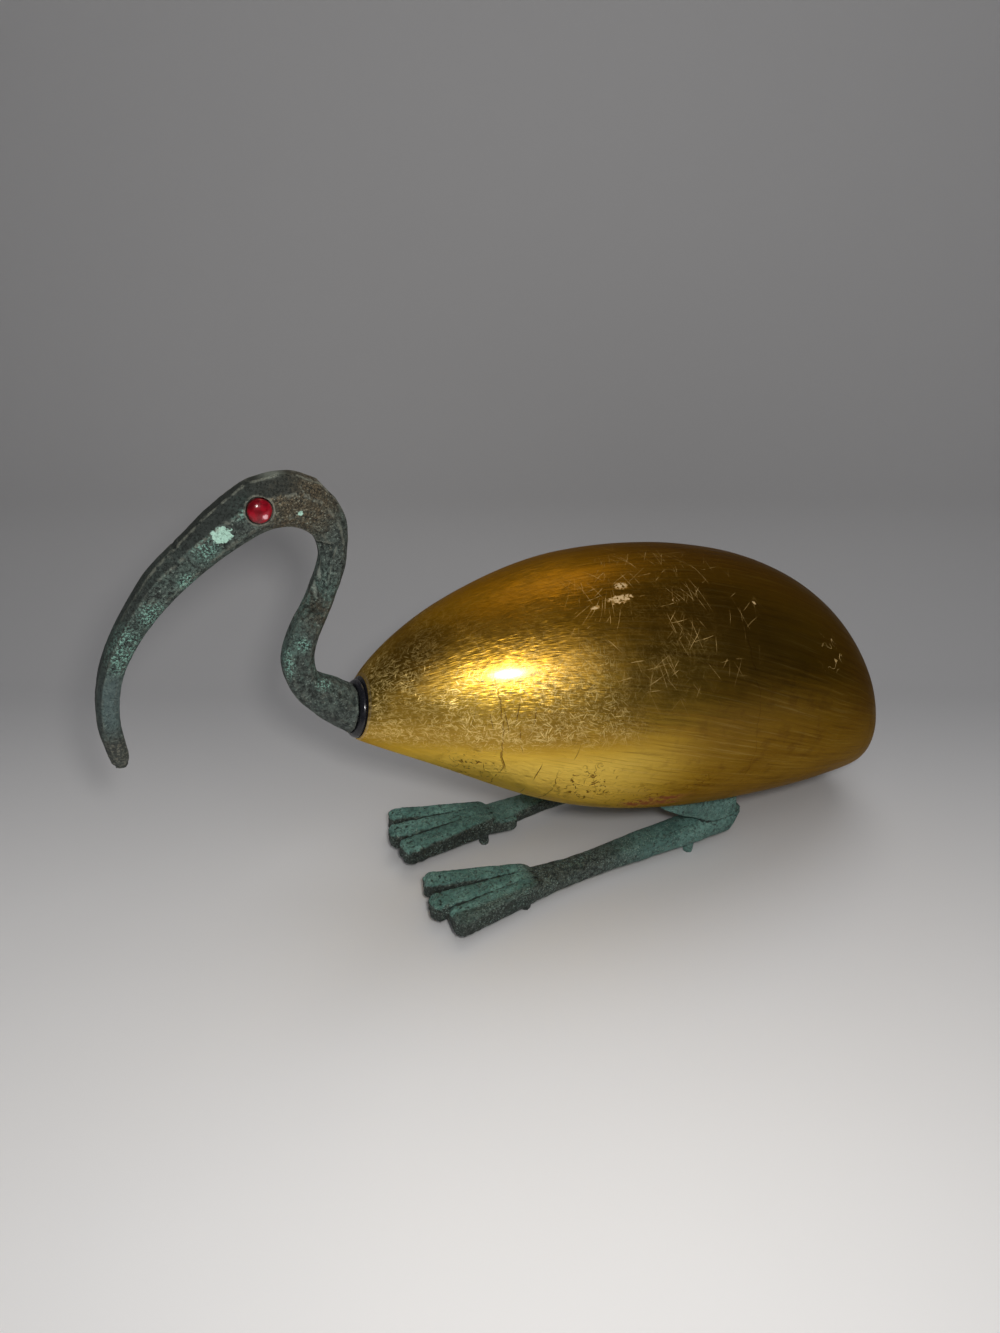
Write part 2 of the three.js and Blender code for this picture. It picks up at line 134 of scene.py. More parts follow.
# Flats worked on the crown, each a direction in degrees and a depth, and one on the upper neck's left,
# with its centre, direction, depth and reach
CROWN_FLATS = [(150, 0.35), (123, 0.4), (97, 0.3), (63, 0.4), (38, 0.3)]
CROWN_ABOVE_ROOT = 46
CROWN_AHEAD_OF_ROOT = 36
NECK_FLAT = ((-60.6, -2.9, 111.0), (-0.72, -0.66, 0.2), 0.75, 9)

# Eyes, placed from the neck's root
EYE_RADIUS = 2.75
EYE_DOME = 1.5
EYE_SEAT_DEPTH = 1.4
EYE_AHEAD = 17.3
EYE_UP = 57.6
EYE_HALF_WIDTH = 4.7
EYE_RIM_WIDTH = 0.7
EYE_RIM_HEIGHT = 0.16
EYE_RIM_LEAST_Y = 2
EYE_FOOT_INSET = 0.25
EYE_FOOT_HEIGHT = 0.2
EYE_DOME_TURN = math.radians(88.65)
EYE_SIDES = 72
EYE_STEPS = 25
EYE_NOISE = [(2.2, 0.05, 7)]

# Feet and legs, drawn from the middle of each ankle. Turns are in degrees towards the bird's right
FEET = {
    "left": {
        "side": -1, "x": 1.7, "y": -14.4, "heel_turn": 1.5, "bow": 0,
        "toe_turn": 7, "peg_back": -1.3, "peg_right": 0, "hallux_length": 6,
        "toes": [(-17.5, 26.6, 9), (0, 30, 7.4), (18.5, 31, 7.2)],
    },
    "right": {
        "side": 1, "x": 2.2, "y": 18.3, "heel_turn": 0, "bow": 2.6,
        "toe_turn": 10.5, "peg_back": -0.9, "peg_right": -0.8, "hallux_length": 10,
        "toes": [(-17, 29.6, 8.2), (0, 30.8, 7.4), (16, 30.8, 6.4)],
    },
}
ANKLE_SHIFT = FRONT_FACE_X + 41.4
PEG_RADIUS = 1.6
PEG_HEIGHT = 6.5
PEG_BURY = 1.1
PEG_INSIDE = 2
REAR_PEG_FROM_HEEL = 18
FOOT_SOLE = PEG_HEIGHT - PEG_BURY
TARSUS_LENGTH = 74.8
HEEL_CUT = 5
HEEL_CUT_POWER = 10
ANKLE_WIDTH = 11
ANKLE_HEIGHT = 5.6
WAIST_WIDTH = 7.8
WAIST_HEIGHT = 5.7
HOCK_WIDTH = 9.4
HOCK_HEIGHT = 8.8
TARSUS_NOSE = (0.04, 0.7)
# A section is its number of sides and its squareness, from 2 for a circle upwards
TARSUS_SECTION = (48, 3.2)
TARSUS_STEPS_PER_SPAN = 24
THIGH_REAR_INSET = 4
THIGH_REACH = 27
THIGH_LIFT = 2
THIGH_FRONT_HEIGHT = 1.8
THIGH_RISE_POWER = 0.55
THIGH_JOINED_SHARE = 0.2
THIGH_WIDTH = 8.5
THIGH_NOSE = (0.35, 0.3)
THIGH_SECTION = (56, 5)
THIGH_STEPS = 60
TOE_ROOT_INSET = 2
TOE_ROOT_NOSE = (0.14, 0.3)
TOE_ROOT_SPREAD = 2.6
TOE_FAN = 17
TOE_ROOT_WIDTH = 4.8
TOE_ROOT_HEIGHT = 7.2
TOE_TIP_HEIGHT = 5.6
TOE_TIP_DROP = 0.8
TOE_TIP_NOSE = (0.06, 0.6)
TOE_FLATNESS = 0.4
TOE_SECTION = (40, 4)
TOE_STEPS = 36
HALLUX_INSET = 1
HALLUX_WIDTH = 4.2
HALLUX_HEIGHT = 4.4
HALLUX_OFFSET = 2.5
HALLUX_TURN = 9
HALLUX_NOSE = (0.2, 0.6)
LEG_VOXEL = 0.38
LEG_NOISE = [(6, 0.16, 0), (2.2, 0.1, 1), (0.9, 0.06, 2)]
TOE_NOISE = [(1.7, 0.36, 3), (0.9, 0.15, 4)]
TOE_NOISE_REACH = (12, 28)
SOLE_NOISE_HEIGHT = (0.2, 1.5)
BODY_OVER_LEGS = 20
LEG_SEEDS = {"left": 20, "right": 30}

# Directions
X_AXIS = (1, 0, 0)
Y_AXIS = (0, 1, 0)
Z_AXIS = (0, 0, 1)

# Colours used in several finishes, and the middle of a random colour
MIDDLE_GREY = (0.5, 0.5, 0.5)
PIT_DARK = (0.014, 0.018, 0.016)
# Painted shade in the legs' grooves
GROOVE_SHADE = (0.012, 0.016, 0.014)

# Gold leaf. A spot is its centre and reach, then its softness, stretch and raggedness where it has them
SHEET_RADIUS = 28
SHEET_WAVELENGTH = 13
HATCH_TURNS = (4, 17, 31, 46, 60, 77, -9, -22, -37, -51, -66, -82)
HAIR_TURNS = (-30, -44, -58, -72, 47, 64, 78, -12)
CUT_TURNS = (84, 99)
GLINT = ((-24, -20, 86), 20, 0.8)
COATED = ((-20, -20, 86), 20, 0.8)
SHOULDER_SHADE = ((-41, -7, 88), 15, 0.8)
HIGH_SIDE_SHADE = ((15, -30, 81), 19, 0.8)
LOW_SIDE_SHADE = ((33, -37, 63), 16, 0.8)
BLOTCHED = ((48, -30, 56), 36, 0.7, (0.7, 1, 1.3))
HATCHED_SHOULDER = ((20, -24, 88), 24, 0.7)
HAIR_LINED = ((24, -20, 90), 36, 0.5, (1, 1, 1.4))
LOOPED = ((76, -27, 72), 8, 0.4)
BOLE = ((20, -28, 39), 9.5, 0.5, (0.75, 1, 2.0), 0.8)
CRAZED = (((-2, -30, 51), 13, 0.7), ((16, -28, 41), 15, 0.7), ((-30, -18, 58), 12, 0.8),
          ((30, -30, 47), 10, 0.7))
CUT_PLACES = (((-22, -25, 66), 18, 0.5), ((-10, -25, 56), 18, 0.6))
SCUFFS = (((14.3, -13.2, 98.8), 1.8, 0.4, (0.7, 1.2, 1), 2), ((12.4, -16.8, 97), 2, 0.4, (0.5, 1.5, 1), 2),
          ((4.7, -17.3, 96.3), 0.9, 0.4, (0.6, 1.6, 1), 1.8), ((52, -20.7, 89.4), 0.8, 0.4, (1, 1, 1), 1.4),
          ((27, -19.4, 95), 0.7, 0.4, (1, 1, 1), 1.4))
# Edges where two leaves lap: how far along the body, how dark, and how high they reach
LEAF_LAPS = ((-24, 0.75, 88), (-10.6, 0.75, 62), (45, 0.5, 90), (98, 0.5, 90))

# Spots on the castings
GREEN_NECK = (((-70, 0, 92), 14, 0.6), ((-63, 0, 83), 9, 0.7), ((-62, 0, 106), 12, 0.8))
GREEN_BEAK_BASE = ((-84, 0, 123), 10, 0.8)
GREEN_BEAK = ((-104, 0, 103), 11, 0.8)
BROWN_NAPE = ((-64, 0, 131), 13, 0.5)
BROWN_NECK = ((-61, 0, 102), 8, 0.8)
PALE_SPOTS = (((-106.3, -2.9, 102.8), 6.5, 0.8, (1, 0.6, 0.7)), ((-98.5, -3.1, 110), 4.5, 0.8),
              ((-90.1, -3.1, 116.3), 3.2, 0.8), ((-85.5, -3.6, 123.5), 4.2, 0.9),
              ((-70.8, -2.5, 91.0), 4, 0.7, (1.6, 1, 0.7)), ((-66.7, -3.4, 95.3), 2.6, 0.8),
              ((-62.6, -3.4, 83.5), 3.2, 0.8, (1, 1, 1.4)), ((-76.5, -4, 132), 4.5, 0.9))
MINT_PATCH = ((-81.6, -4.2, 126.1), 4.1)
MINT_DOT = ((-64.2, -4.5, 128.4), 0.75, 0.3, (1, 1, 1.2), 1)
TAN_TEMPLE = ((-69.5, -4.3, 134.6), 5.5, 0.7)
TEAL_BEAK = ((-111, -2.6, 90), 8, 0.7, (1, 1, 0.7))
# Painted shade on the crown's upward faces
SHADED_CROWN_TOP = ((-79, 0, 135), 19, 0.35)
# Worn flats on the neck and the crown, smoother, with a painted highlight on them
NECK_WEAR_AND_HIGHLIGHT = (((-60.8, -3, 113.6), 3.4, 0.5, (4.5, 1, 0.75), 0.2),
             ((-62.1, -3, 109.3), 3.4, 0.5, (4.5, 1, 0.75), 0.2))
CROWN_WEAR_AND_HIGHLIGHT = ((-69.5, 0, 138.5), 4, 0.6, (0.7, 0.6, 1.4))
BRIGHT_ANKLE = ((-9, -14.4, 12), 8, 0.9, (1, 1.6, 1))

# The photograph's camera, in the row frame
CAMERA_PLACE = (-111.7, -211.1, 209.2)
CAMERA_HEADING = 24.9
CAMERA_PITCH = 30
FOCAL_LENGTH_PX = 1000
FRAME_HEIGHT_PX = 1333
SENSOR = 36

# The sweep, in distances from under the camera. Its colour fades with distance both ways, a painted falloff
# of light
FLOOR_NEAR = -900
WALL_DISTANCE = 400
WALL_HEIGHT = 270
WALL_BEND = 60
WALL_BEND_STEPS = 24
FLOOR_HALF_WIDTH = 1600
FADE_BEHIND = (100, 395)
FADE_BEFORE = (100, -40)
FLOOR_COLOUR = (0.83, 0.825, 0.83)
BACKDROP_COLOUR = (0.38, 0.378, 0.385)

# Lamps: name, place, what they point at, size, watts, colour and whether the figure mirrors them
LAMPS = [
    ("key", (-96, -218, 228), (0, 0, 60), 24, 0.38, (1.0, 0.98, 0.95), True),
    ("warm_back", (200, 380, 640), (0, 0, 90), 340, 0.36, (1.0, 0.76, 0.38), True),
    ("soft_front", (-250, -600, 800), (0, 0, 40), 700, 2.5, (1, 1, 1), False),
    ("soft_top", (150, 60, 950), (0, 0, 40), 700, 2.2, (1, 1, 1), False),
]
SURROUND_COLOUR = (0.055, 0.055, 0.058)


# Curves and sections

def bezier(a, b, c, d, steps=600):
    """Points along a cubic Bezier curve in side view."""
    t = np.linspace(0, 1, steps)[:, None]
    a, b, c, d = (np.array(p, float) for p in (a, b, c, d))
    return (1 - t) ** 3 * a + 3 * (1 - t) ** 2 * t * b + 3 * (1 - t) * t ** 2 * c + t ** 3 * d


def polar(start, length, degrees):
    """The place at a distance and direction from a start, in side view."""
    angle = math.radians(degrees)
    return (start[0] + length * math.cos(angle), start[1] + length * math.sin(angle))


def side_direction(degrees):
    """A direction in side view, turned up from straight back."""
    return np.array([math.cos(math.radians(degrees)), 0, math.sin(math.radians(degrees))])


def body_outline():
    """The crest line above and the belly line below, each as points in side view."""
    crest = (FRONT_FACE_X + CREST_BACK, FRONT_FACE_Z + CREST_UP)
    belly = (FRONT_FACE_X + BELLY_BACK, FRONT_FACE_Z - BELLY_DOWN)
    tail = (FRONT_FACE_X + TAIL_BACK, FRONT_FACE_Z - TAIL_DOWN)
    face_top = (FRONT_FACE_X, FRONT_FACE_Z + FRONT_FACE_RADIUS)
    face_bottom = (FRONT_FACE_X, FRONT_FACE_Z - FRONT_FACE_RADIUS)
    upper = np.vstack([
        bezier(face_top, polar(face_top, SHOULDER_PULL, SHOULDER_STEEPNESS),
               polar(crest, -CREST_FRONT_PULL, 0), crest),
        bezier(crest, polar(crest, CREST_REAR_PULL, 0), polar(tail, TAIL_UPPER_PULL, 90), tail),
    ])
    lower = np.vstack([
        bezier(face_bottom, polar(face_bottom, BREAST_PULL, -BREAST_STEEPNESS),
               polar(belly, -BELLY_FRONT_PULL, -BELLY_SLOPE), belly),
        bezier(belly, polar(belly, BELLY_REAR_PULL, -BELLY_SLOPE),
               polar(tail, -TAIL_LOWER_PULL, 90), tail),
    ])
    return upper, lower


UPPER_LINE, LOWER_LINE = body_outline()


def body_section(x):
    """Middle height, half height and half width of the body's upright section."""
    top = np.interp(x, UPPER_LINE[:, 0], UPPER_LINE[:, 1])
    bottom = np.interp(x, LOWER_LINE[:, 0], LOWER_LINE[:, 1])
    half = (top - bottom) / 2
    return (top + bottom) / 2, half, half * BODY_WIDTH_TO_HEIGHT


def underside_at(x, y):
    """Height of the body's underside over a place on the ground."""
    middle, half, half_width = body_section(x)
    return middle - half * np.sqrt(np.clip(1 - (y / half_width) ** 2, 0, 1))


def smooth_curve(knots, per_span):
    """Points of a centripetal Catmull-Rom curve through the knots, evenly many between each two."""
    knots = np.array(knots, float)
    knots = np.vstack([2 * knots[0] - knots[1], knots, 2 * knots[-1] - knots[-2]])
    spans = np.linalg.norm(np.diff(knots, axis=0), axis=1) ** 0.5
    t = np.arange(per_span)[:, None] / per_span
    rows = []
    for i in range(1, len(knots) - 2):
        before, start, end, after = knots[i - 1:i + 3]
        d0, d1, d2 = spans[i - 1:i + 2]
        leave = (start - before) / d0 - (end - before) / (d0 + d1) + (end - start) / d1
        arrive = (end - start) / d1 - (after - start) / (d1 + d2) + (after - end) / d2
        leave = leave * d1
        arrive = arrive * d1
        rows.append(start + leave * t + (3 * (end - start) - 2 * leave - arrive) * t ** 2
                    + (2 * (start - end) + leave + arrive) * t ** 3)
    return np.vstack(rows + [knots[-2][None]])


def smoothstep(value, low, high):
    """Rises smoothly from 0 to 1 as the value goes from low to high."""
    share = np.clip((np.asarray(value, float) - low) / (high - low), 0, 1)
    return share * share * (3 - 2 * share)


def angles_round(sides):
    """Evenly spaced angles of a full turn."""
    return np.linspace(0, 2 * np.pi, sides, endpoint=False)


def nose(along, share, least):
    """Narrows a section to a rounded nose over the last share of its length."""
    into = np.clip((along - 1 + share) / share, 0, 1)
    return np.maximum(least, np.sqrt(1 - into ** 2))


# Meshes

def add_object(name, data):
    """A new object in the scene."""
    thing = bpy.data.objects.new(name, data)
    bpy.context.scene.collection.objects.link(thing)
    return thing


def wall_faces(rings, sides, count):
    """Faces from each of the first count rings to the next, where the first ring follows the last."""
    faces = []
    for ring in range(count):
        for side in range(sides):
            start = ring * sides
            after = (ring + 1) % rings * sides
            turn = (side + 1) % sides
            faces.append((start + side, start + turn, after + turn, after + side))
    return faces


def ring_faces(rings, sides):
    """Faces of a tube of rings with both ends closed by a fan round an added middle point."""
    faces = wall_faces(rings, sides, rings - 1)
    start_middle, end_middle = rings * sides, rings * sides + 1
    last = (rings - 1) * sides
    for side in range(sides):
        after = (side + 1) % sides
        faces.append((start_middle, after, side))
        faces.append((end_middle, last + side, last + after))
    return faces


def tube(rings):
    """Corners and faces of a closed tube through rings, an array of ring, side and place."""
    count, sides, _ = rings.shape
    ends = np.array([rings[0].mean(0), rings[-1].mean(0)])
    return np.vstack([rings.reshape(-1, 3), ends]), ring_faces(count, sides)


def joined(solids):
    """Several solids as one list of corners and faces."""
    corners = []
    faces = []
    start = 0
    for points, polygons in solids:
        corners.append(points)
        faces += [tuple(index + start for index in polygon) for polygon in polygons]
        start += len(points)
    return np.vstack(corners), faces


def add_piece(name, solid):
    """A smooth-shaded object from corners in millimetres and faces, with its faces turned outward."""
    corners, faces = solid
    mesh = bpy.data.meshes.new(name)
    mesh.from_pydata((corners * MM).tolist(), [], faces)
    mesh.validate()
    piece = add_object(name, mesh)
    bpy.context.view_layer.objects.active = piece
    bpy.ops.object.select_all(action="DESELECT")
    piece.select_set(True)
    bpy.ops.object.mode_set(mode="EDIT")
    bpy.ops.mesh.select_all(action="SELECT")
    bpy.ops.mesh.normals_make_consistent(inside=False)
    bpy.ops.object.mode_set(mode="OBJECT")
    piece.data.shade_smooth()
    return piece


def apply_modifiers(piece):
    """Makes what the modifiers show the piece's own mesh."""
    graph = bpy.context.evaluated_depsgraph_get()
    mesh = bpy.data.meshes.new_from_object(piece.evaluated_get(graph))
    old = piece.data
    piece.modifiers.clear()
    piece.data = mesh
    mesh.name = old.name
    bpy.data.meshes.remove(old)
    piece.data.shade_smooth()


def corners_of(piece):
    """A piece's corners in millimetres and its outward directions there."""
    count = len(piece.data.vertices)
    places = np.zeros(count * 3)
    piece.data.vertices.foreach_get("co", places)
    directions = np.zeros(count * 3)
    piece.data.vertex_normals.foreach_get("vector", directions)
    return places.reshape(-1, 3) / MM, directions.reshape(-1, 3)


def move_corners(piece, places):
    piece.data.vertices.foreach_set("co", (places * MM).ravel())
    piece.data.update()


def noise_at(places, wavelength, seed):
    """Smooth noise from about -1 to 1 at each place."""
    offset = Vector((seed * 17.3, seed * 5.1, seed * 9.7))
    return np.array([noise.noise(Vector(place) / wavelength + offset) for place in places])


def noise_sum(places, layers, seed=0):
    """Layers of noise added up, each a wavelength, a depth and a seed that counts from a first one."""
    return sum(depth * noise_at(places, wavelength, seed + own) for wavelength, depth, own in layers)


def roughen(piece, layers):
    """Moves the surface in and out by layers of noise."""
    places, directions = corners_of(piece)
    move_corners(piece, places + directions * noise_sum(places, layers)[:, None])


def rod(start, end, radius, sides=48):
    """A round pin between two places."""
    start, end = np.array(start, float), np.array(end, float)
    axis = (end - start) / np.linalg.norm(end - start)
    across = np.cross(axis, Y_AXIS if abs(axis[1]) < 0.9 else X_AXIS)
    across /= np.linalg.norm(across)
    up = np.cross(axis, across)
    angles = angles_round(sides)[:, None]
    circle = radius * (np.cos(angles) * across + np.sin(angles) * up)
    return tube(np.stack([start + circle, end + circle]))


def cut(piece, cutters):
    """Takes solids out of a piece."""
    for number, cutter in enumerate(cutters):
        tool = add_piece(f"{piece.name}_cutter_{number}", cutter)
        difference = piece.modifiers.new("cut", "BOOLEAN")
        difference.operation = "DIFFERENCE"
        difference.solver = "EXACT"
        difference.object = tool
        apply_modifiers(piece)
        bpy.data.objects.remove(tool)


# Body

JOINT_AXIS = side_direction(-FRONT_FACE_LEAN)
FRONT_FACE = np.array([FRONT_FACE_X, 0, FRONT_FACE_Z])
NECK_ROOT = FRONT_FACE - (2 * SEAT_GAP + COLLAR_THICKNESS) * JOINT_AXIS


def sway_at(foot, back):
    """The middle line of a folded leg, as the distance to the bird's right at a distance back."""
    return np.tan(math.radians(foot["heel_turn"])) * back + foot["bow"] * np.sin(np.pi * back / TARSUS_LENGTH)


def from_ankle(foot, back, right, z):
    """A place measured back from an ankle and to the bird's right of it."""
    return np.stack(np.broadcast_arrays(foot["x"] + ANKLE_SHIFT + back, foot["y"] + right, z), axis=-1)


def neck_bolt_hole():
    return rod(FRONT_FACE + (NECK_BOLT_IN_WOOD + SEAT_GAP) * JOINT_AXIS,
               NECK_ROOT - (NECK_BOLT_IN_NECK + SEAT_GAP) * JOINT_AXIS, HOLE_RADIUS_NECK)


def leg_bolt_hole(foot):
    back = TARSUS_LENGTH - LEG_BOLT_FROM_HEEL
    seat = from_ankle(foot, back, sway_at(foot, back), 0.0)
    seat[2] = underside_at(seat[0], seat[1])
    return rod(seat - (0, 0, LEG_BOLT_IN_HOCK + SEAT_GAP), seat + (0, 0, LEG_BOLT_IN_WOOD + SEAT_GAP),
               HOLE_RADIUS_LEG)


def make_body():
    """The plump carved body: elliptical upright sections, with gentle carving under the leaf."""
    along = np.linspace(0, 1, BODY_STEPS + 1)
    x = FRONT_FACE_X + TAIL_BACK * (1 - np.cos(np.pi * along)) / 2
    middle, half, half_width = body_section(x)
    into = np.clip(FRONT_EDGE_ROUND - (x - FRONT_FACE_X), 0, FRONT_EDGE_ROUND)
    rounded = FRONT_EDGE_ROUND - np.sqrt(FRONT_EDGE_ROUND ** 2 - into ** 2)
    half = half - rounded
    half_width = half_width - rounded
    angle = angles_round(BODY_SIDES)
    rise = half[:, None] * np.cos(angle)
    side = half_width[:, None] * np.sin(angle)
    fade = np.clip((x - FRONT_FACE_X) / LEAN_FADE_LENGTH, 0, 1)
    lean = np.tan(math.radians(FRONT_FACE_LEAN)) * (1 - fade) ** 2
    rings = np.stack([x[:, None] + lean[:, None] * rise, side, middle[:, None] + rise], axis=-1)
    body = add_piece("gilded_body", tube(rings[:-1]))
    roughen(body, CARVING_NOISE)
    cut(body, [neck_bolt_hole()] + [leg_bolt_hole(foot) for foot in FEET.values()])
    return body


def make_collar():
    """A lacquered ring that swells from the neck's radius to the body's, with softened edges."""
    centre = FRONT_FACE - (SEAT_GAP + COLLAR_THICKNESS / 2) * JOINT_AXIS
    turn = np.linspace(0, np.pi / 2, COLLAR_STEPS + 1)
    radius = COLLAR_NECK_RADIUS + (COLLAR_RADIUS - COLLAR_NECK_RADIUS) * np.sin(turn)
    place = COLLAR_THICKNESS / 2 - COLLAR_THICKNESS * np.cos(turn)
    inner = np.linspace(0, 1, COLLAR_BORE_STEPS + 2)[1:-1]
    radius = np.concatenate([radius, np.full(COLLAR_BORE_STEPS, COLLAR_BORE)])
    place = np.concatenate([place, COLLAR_THICKNESS * (0.5 - inner)])
    angle = angles_round(COLLAR_SIDES)[:, None, None]
    up = np.array([-JOINT_AXIS[2], 0, JOINT_AXIS[0]])
    outward = np.cos(angle) * up + np.sin(angle) * np.array(Y_AXIS)
    rings = centre + place[None, :, None] * JOINT_AXIS + radius[None, :, None] * outward
    count, sides, _ = rings.shape
    return add_piece("collar_ring", (rings.reshape(-1, 3), wall_faces(count, sides, count)))


# Neck, head and beak

def bevelled_section(angle, above, below):
    """Places on a squared section of half size 1, with bevels on its upper and lower edges."""
    across, up = np.cos(angle), np.sin(angle)
    power = CASTING_EDGE_CRISPNESS
    reach = (np.abs(across) ** power + np.abs(up) ** power
             + np.clip((np.abs(across) + up) / above, 0, None) ** power
             + np.clip((np.abs(across) - up) / below, 0, None) ** power) ** (-1 / power)
    return across * reach, up * reach


def casting_rings():
    """Rings of the neck, head and beak from the root to the beak's tip. Up in them is the inner side."""
    stations = np.array([row[1:] for row in CASTING_STATIONS], float)
    knots = np.stack([NECK_ROOT[0] - stations[:, 0], NECK_ROOT[2] + stations[:, 1]], axis=-1)
    path = smooth_curve(knots, CASTING_STEPS_PER_STATION)
    sizes = smooth_curve(stations[:, 2:4], CASTING_STEPS_PER_STATION)
    station = np.linspace(0, len(stations) - 1, len(path))
    outer, inner = (np.interp(station, np.arange(len(stations)), stations[:, i])[:, None] for i in (4, 5))
    along = np.linspace(0, 1, len(path))
    heading = np.gradient(path, axis=0)
    heading /= np.linalg.norm(heading, axis=1)[:, None]
    rise = np.stack([-heading[:, 1], heading[:, 0]], axis=-1)
    root_rise = np.array([JOINT_AXIS[2], -JOINT_AXIS[0]])
    twist = smoothstep(along, 0, ROOT_TWIST_SHARE)[:, None]
    rise = root_rise * (1 - twist) + rise * twist
    rise /= np.linalg.norm(rise, axis=1)[:, None]
    end = nose(along, *TIP_NOSE)
    across, up = bevelled_section(angles_round(CASTING_SIDES), inner, outer)
    thick = (sizes[:, 0] * end / 2)[:, None]
    wide = (sizes[:, 1] * end / 2)[:, None]
    x = path[:, 0:1] + rise[:, 0:1] * up * thick
    z = path[:, 1:2] + rise[:, 1:2] * up * thick
    return np.stack([x, across * wide, z], axis=-1)


def cut_flat(places, chosen, direction, level):
    """Takes what lies past a level in a direction off the chosen places."""
    excess = np.clip(places @ direction - level, 0, None) * chosen
    return places - excess[:, None] * direction


def flatten_head(places):
    """Works flats round the crown, each a little below its outermost place, and one on the neck."""
    ahead, _, drop = (NECK_ROOT - places).T
    crown = (drop < -CROWN_ABOVE_ROOT) & (ahead < CROWN_AHEAD_OF_ROOT)
    for degrees, depth in CROWN_FLATS:
        direction = side_direction(degrees)
        places = cut_flat(places, crown, direction, (places[crown] @ direction).max() - depth)
    centre, direction, depth, reach = (np.array(value) for value in NECK_FLAT)
    direction = direction / np.linalg.norm(direction)
    near = np.linalg.norm(places - centre, axis=1) < reach
    return cut_flat(places, near, direction, centre @ direction - depth)


def eye_place(side):
    """The middle of an eye socket's floor, on the bird's left for -1 and right for 1."""
    return NECK_ROOT + (-EYE_AHEAD, side * (EYE_HALF_WIDTH - EYE_SEAT_DEPTH), EYE_UP)


def eye_socket(side):
    floor = eye_place(side)
    return rod(floor, floor + (0, side * 2 * EYE_SEAT_DEPTH, 0), EYE_RADIUS + SEAT_GAP)


def make_head_and_neck():
    """The neck, head and beak: one casting with worked flats, a grainy skin and a ragged tip."""
    piece = add_piece("bronze_head_and_neck", tube(casting_rings()))
    places, _ = corners_of(piece)
    move_corners(piece, flatten_head(places))
    roughen(piece, CASTING_NOISE)
    places, directions = corners_of(piece)
    ahead, _, drop = (NECK_ROOT - places).T
    tip = smoothstep(drop, *TIP_NOISE_DROP) * (ahead > TIP_NOISE_AHEAD)
    ragged = tip * noise_sum(places, TIP_NOISE)
    rim = 0
    for side in (-1, 1):
        distance = np.linalg.norm((places - eye_place(side))[:, [0, 2]], axis=1)
        ridge = np.clip(1 - np.abs(distance - EYE_RADIUS - EYE_RIM_WIDTH / 2) / EYE_RIM_WIDTH, 0, 1)
        rim = rim + EYE_RIM_HEIGHT * ridge * (side * places[:, 1] > EYE_RIM_LEAST_Y)
    move_corners(piece, places + directions * (ragged + rim)[:, None])
    cut(piece, [neck_bolt_hole()] + [eye_socket(side) for side in (-1, 1)])
    return piece


def make_eye(name, side):
    """A domed glass stone in its socket, a little uneven, as poured glass is."""
    turn = np.linspace(0, EYE_DOME_TURN, EYE_STEPS)
    radius = np.concatenate([[EYE_RADIUS - EYE_FOOT_INSET, EYE_RADIUS], EYE_RADIUS * np.cos(turn)])[:, None]
    foot = [SEAT_GAP, SEAT_GAP + EYE_FOOT_HEIGHT]
    height = np.concatenate([foot, EYE_SEAT_DEPTH + EYE_DOME * np.sin(turn)])
    angle = angles_round(EYE_SIDES)
    outward = np.broadcast_to(side * height[:, None], (len(height), EYE_SIDES))
    rings = np.stack([radius * np.cos(angle), outward, radius * np.sin(angle)], axis=-1) + eye_place(side)
    piece = add_piece(name, tube(rings))
    roughen(piece, EYE_NOISE)
    return piece


# Legs

def squared_circle(sides, squareness):
    """Across and up places round a rounded square of half size 1."""
    circle = (np.cos(angles_round(sides)), np.sin(angles_round(sides)))
    return tuple(np.sign(part) * np.abs(part) ** (2 / squareness) for part in circle)


def toe_between(foot, start, end, tip_nose):
    """A toe from one place to another, each given as back, right, height, width and tallness."""
    along = np.linspace(0, 1, TOE_STEPS)[:, None]
    start, end = np.array(start, float), np.array(end, float)
    back, right, low, wide, tall = ((start[i] + (end[i] - start[i]) * along) for i in range(5))
    heading = (end - start)[:2] / np.linalg.norm((end - start)[:2])
    across, up = squared_circle(*TOE_SECTION)
    size = nose(along, *tip_nose) * nose(1 - along, *TOE_ROOT_NOSE)
    sideways = wide / 2 * across * size
    height = low + tall / 2 * (1 + up * (TOE_FLATNESS + (1 - TOE_FLATNESS) * size))
    return tube(from_ankle(foot, back - heading[1] * sideways, right + heading[0] * sideways, height))


def toe_bar(foot, toe):
    """A front toe, from its turn, length and tip width."""
    turn, length, wide = toe
    angle = math.radians(foot["toe_turn"] + turn)
    root = (TOE_ROOT_INSET, TOE_ROOT_SPREAD * turn / TOE_FAN, FOOT_SOLE, TOE_ROOT_WIDTH, TOE_ROOT_HEIGHT)
    ahead, right = length * math.cos(angle), length * math.sin(angle)
    tip = (-ahead, right, FOOT_SOLE - TOE_TIP_DROP, wide, TOE_TIP_HEIGHT)
    return toe_between(foot, root, tip, TOE_TIP_NOSE)


def hallux_bar(foot):
    """The short hind toe, which points back and towards the other foot."""
    inward = -foot["side"]
    drift = foot["hallux_length"] * math.sin(math.radians(HALLUX_TURN))
    root = (-HALLUX_INSET, inward * HALLUX_OFFSET, FOOT_SOLE, HALLUX_WIDTH, HALLUX_HEIGHT)
    tip = (foot["hallux_length"] - HALLUX_INSET, inward * (HALLUX_OFFSET + drift), FOOT_SOLE,
           HALLUX_WIDTH, HALLUX_HEIGHT)
    return toe_between(foot, root, tip, HALLUX_NOSE)


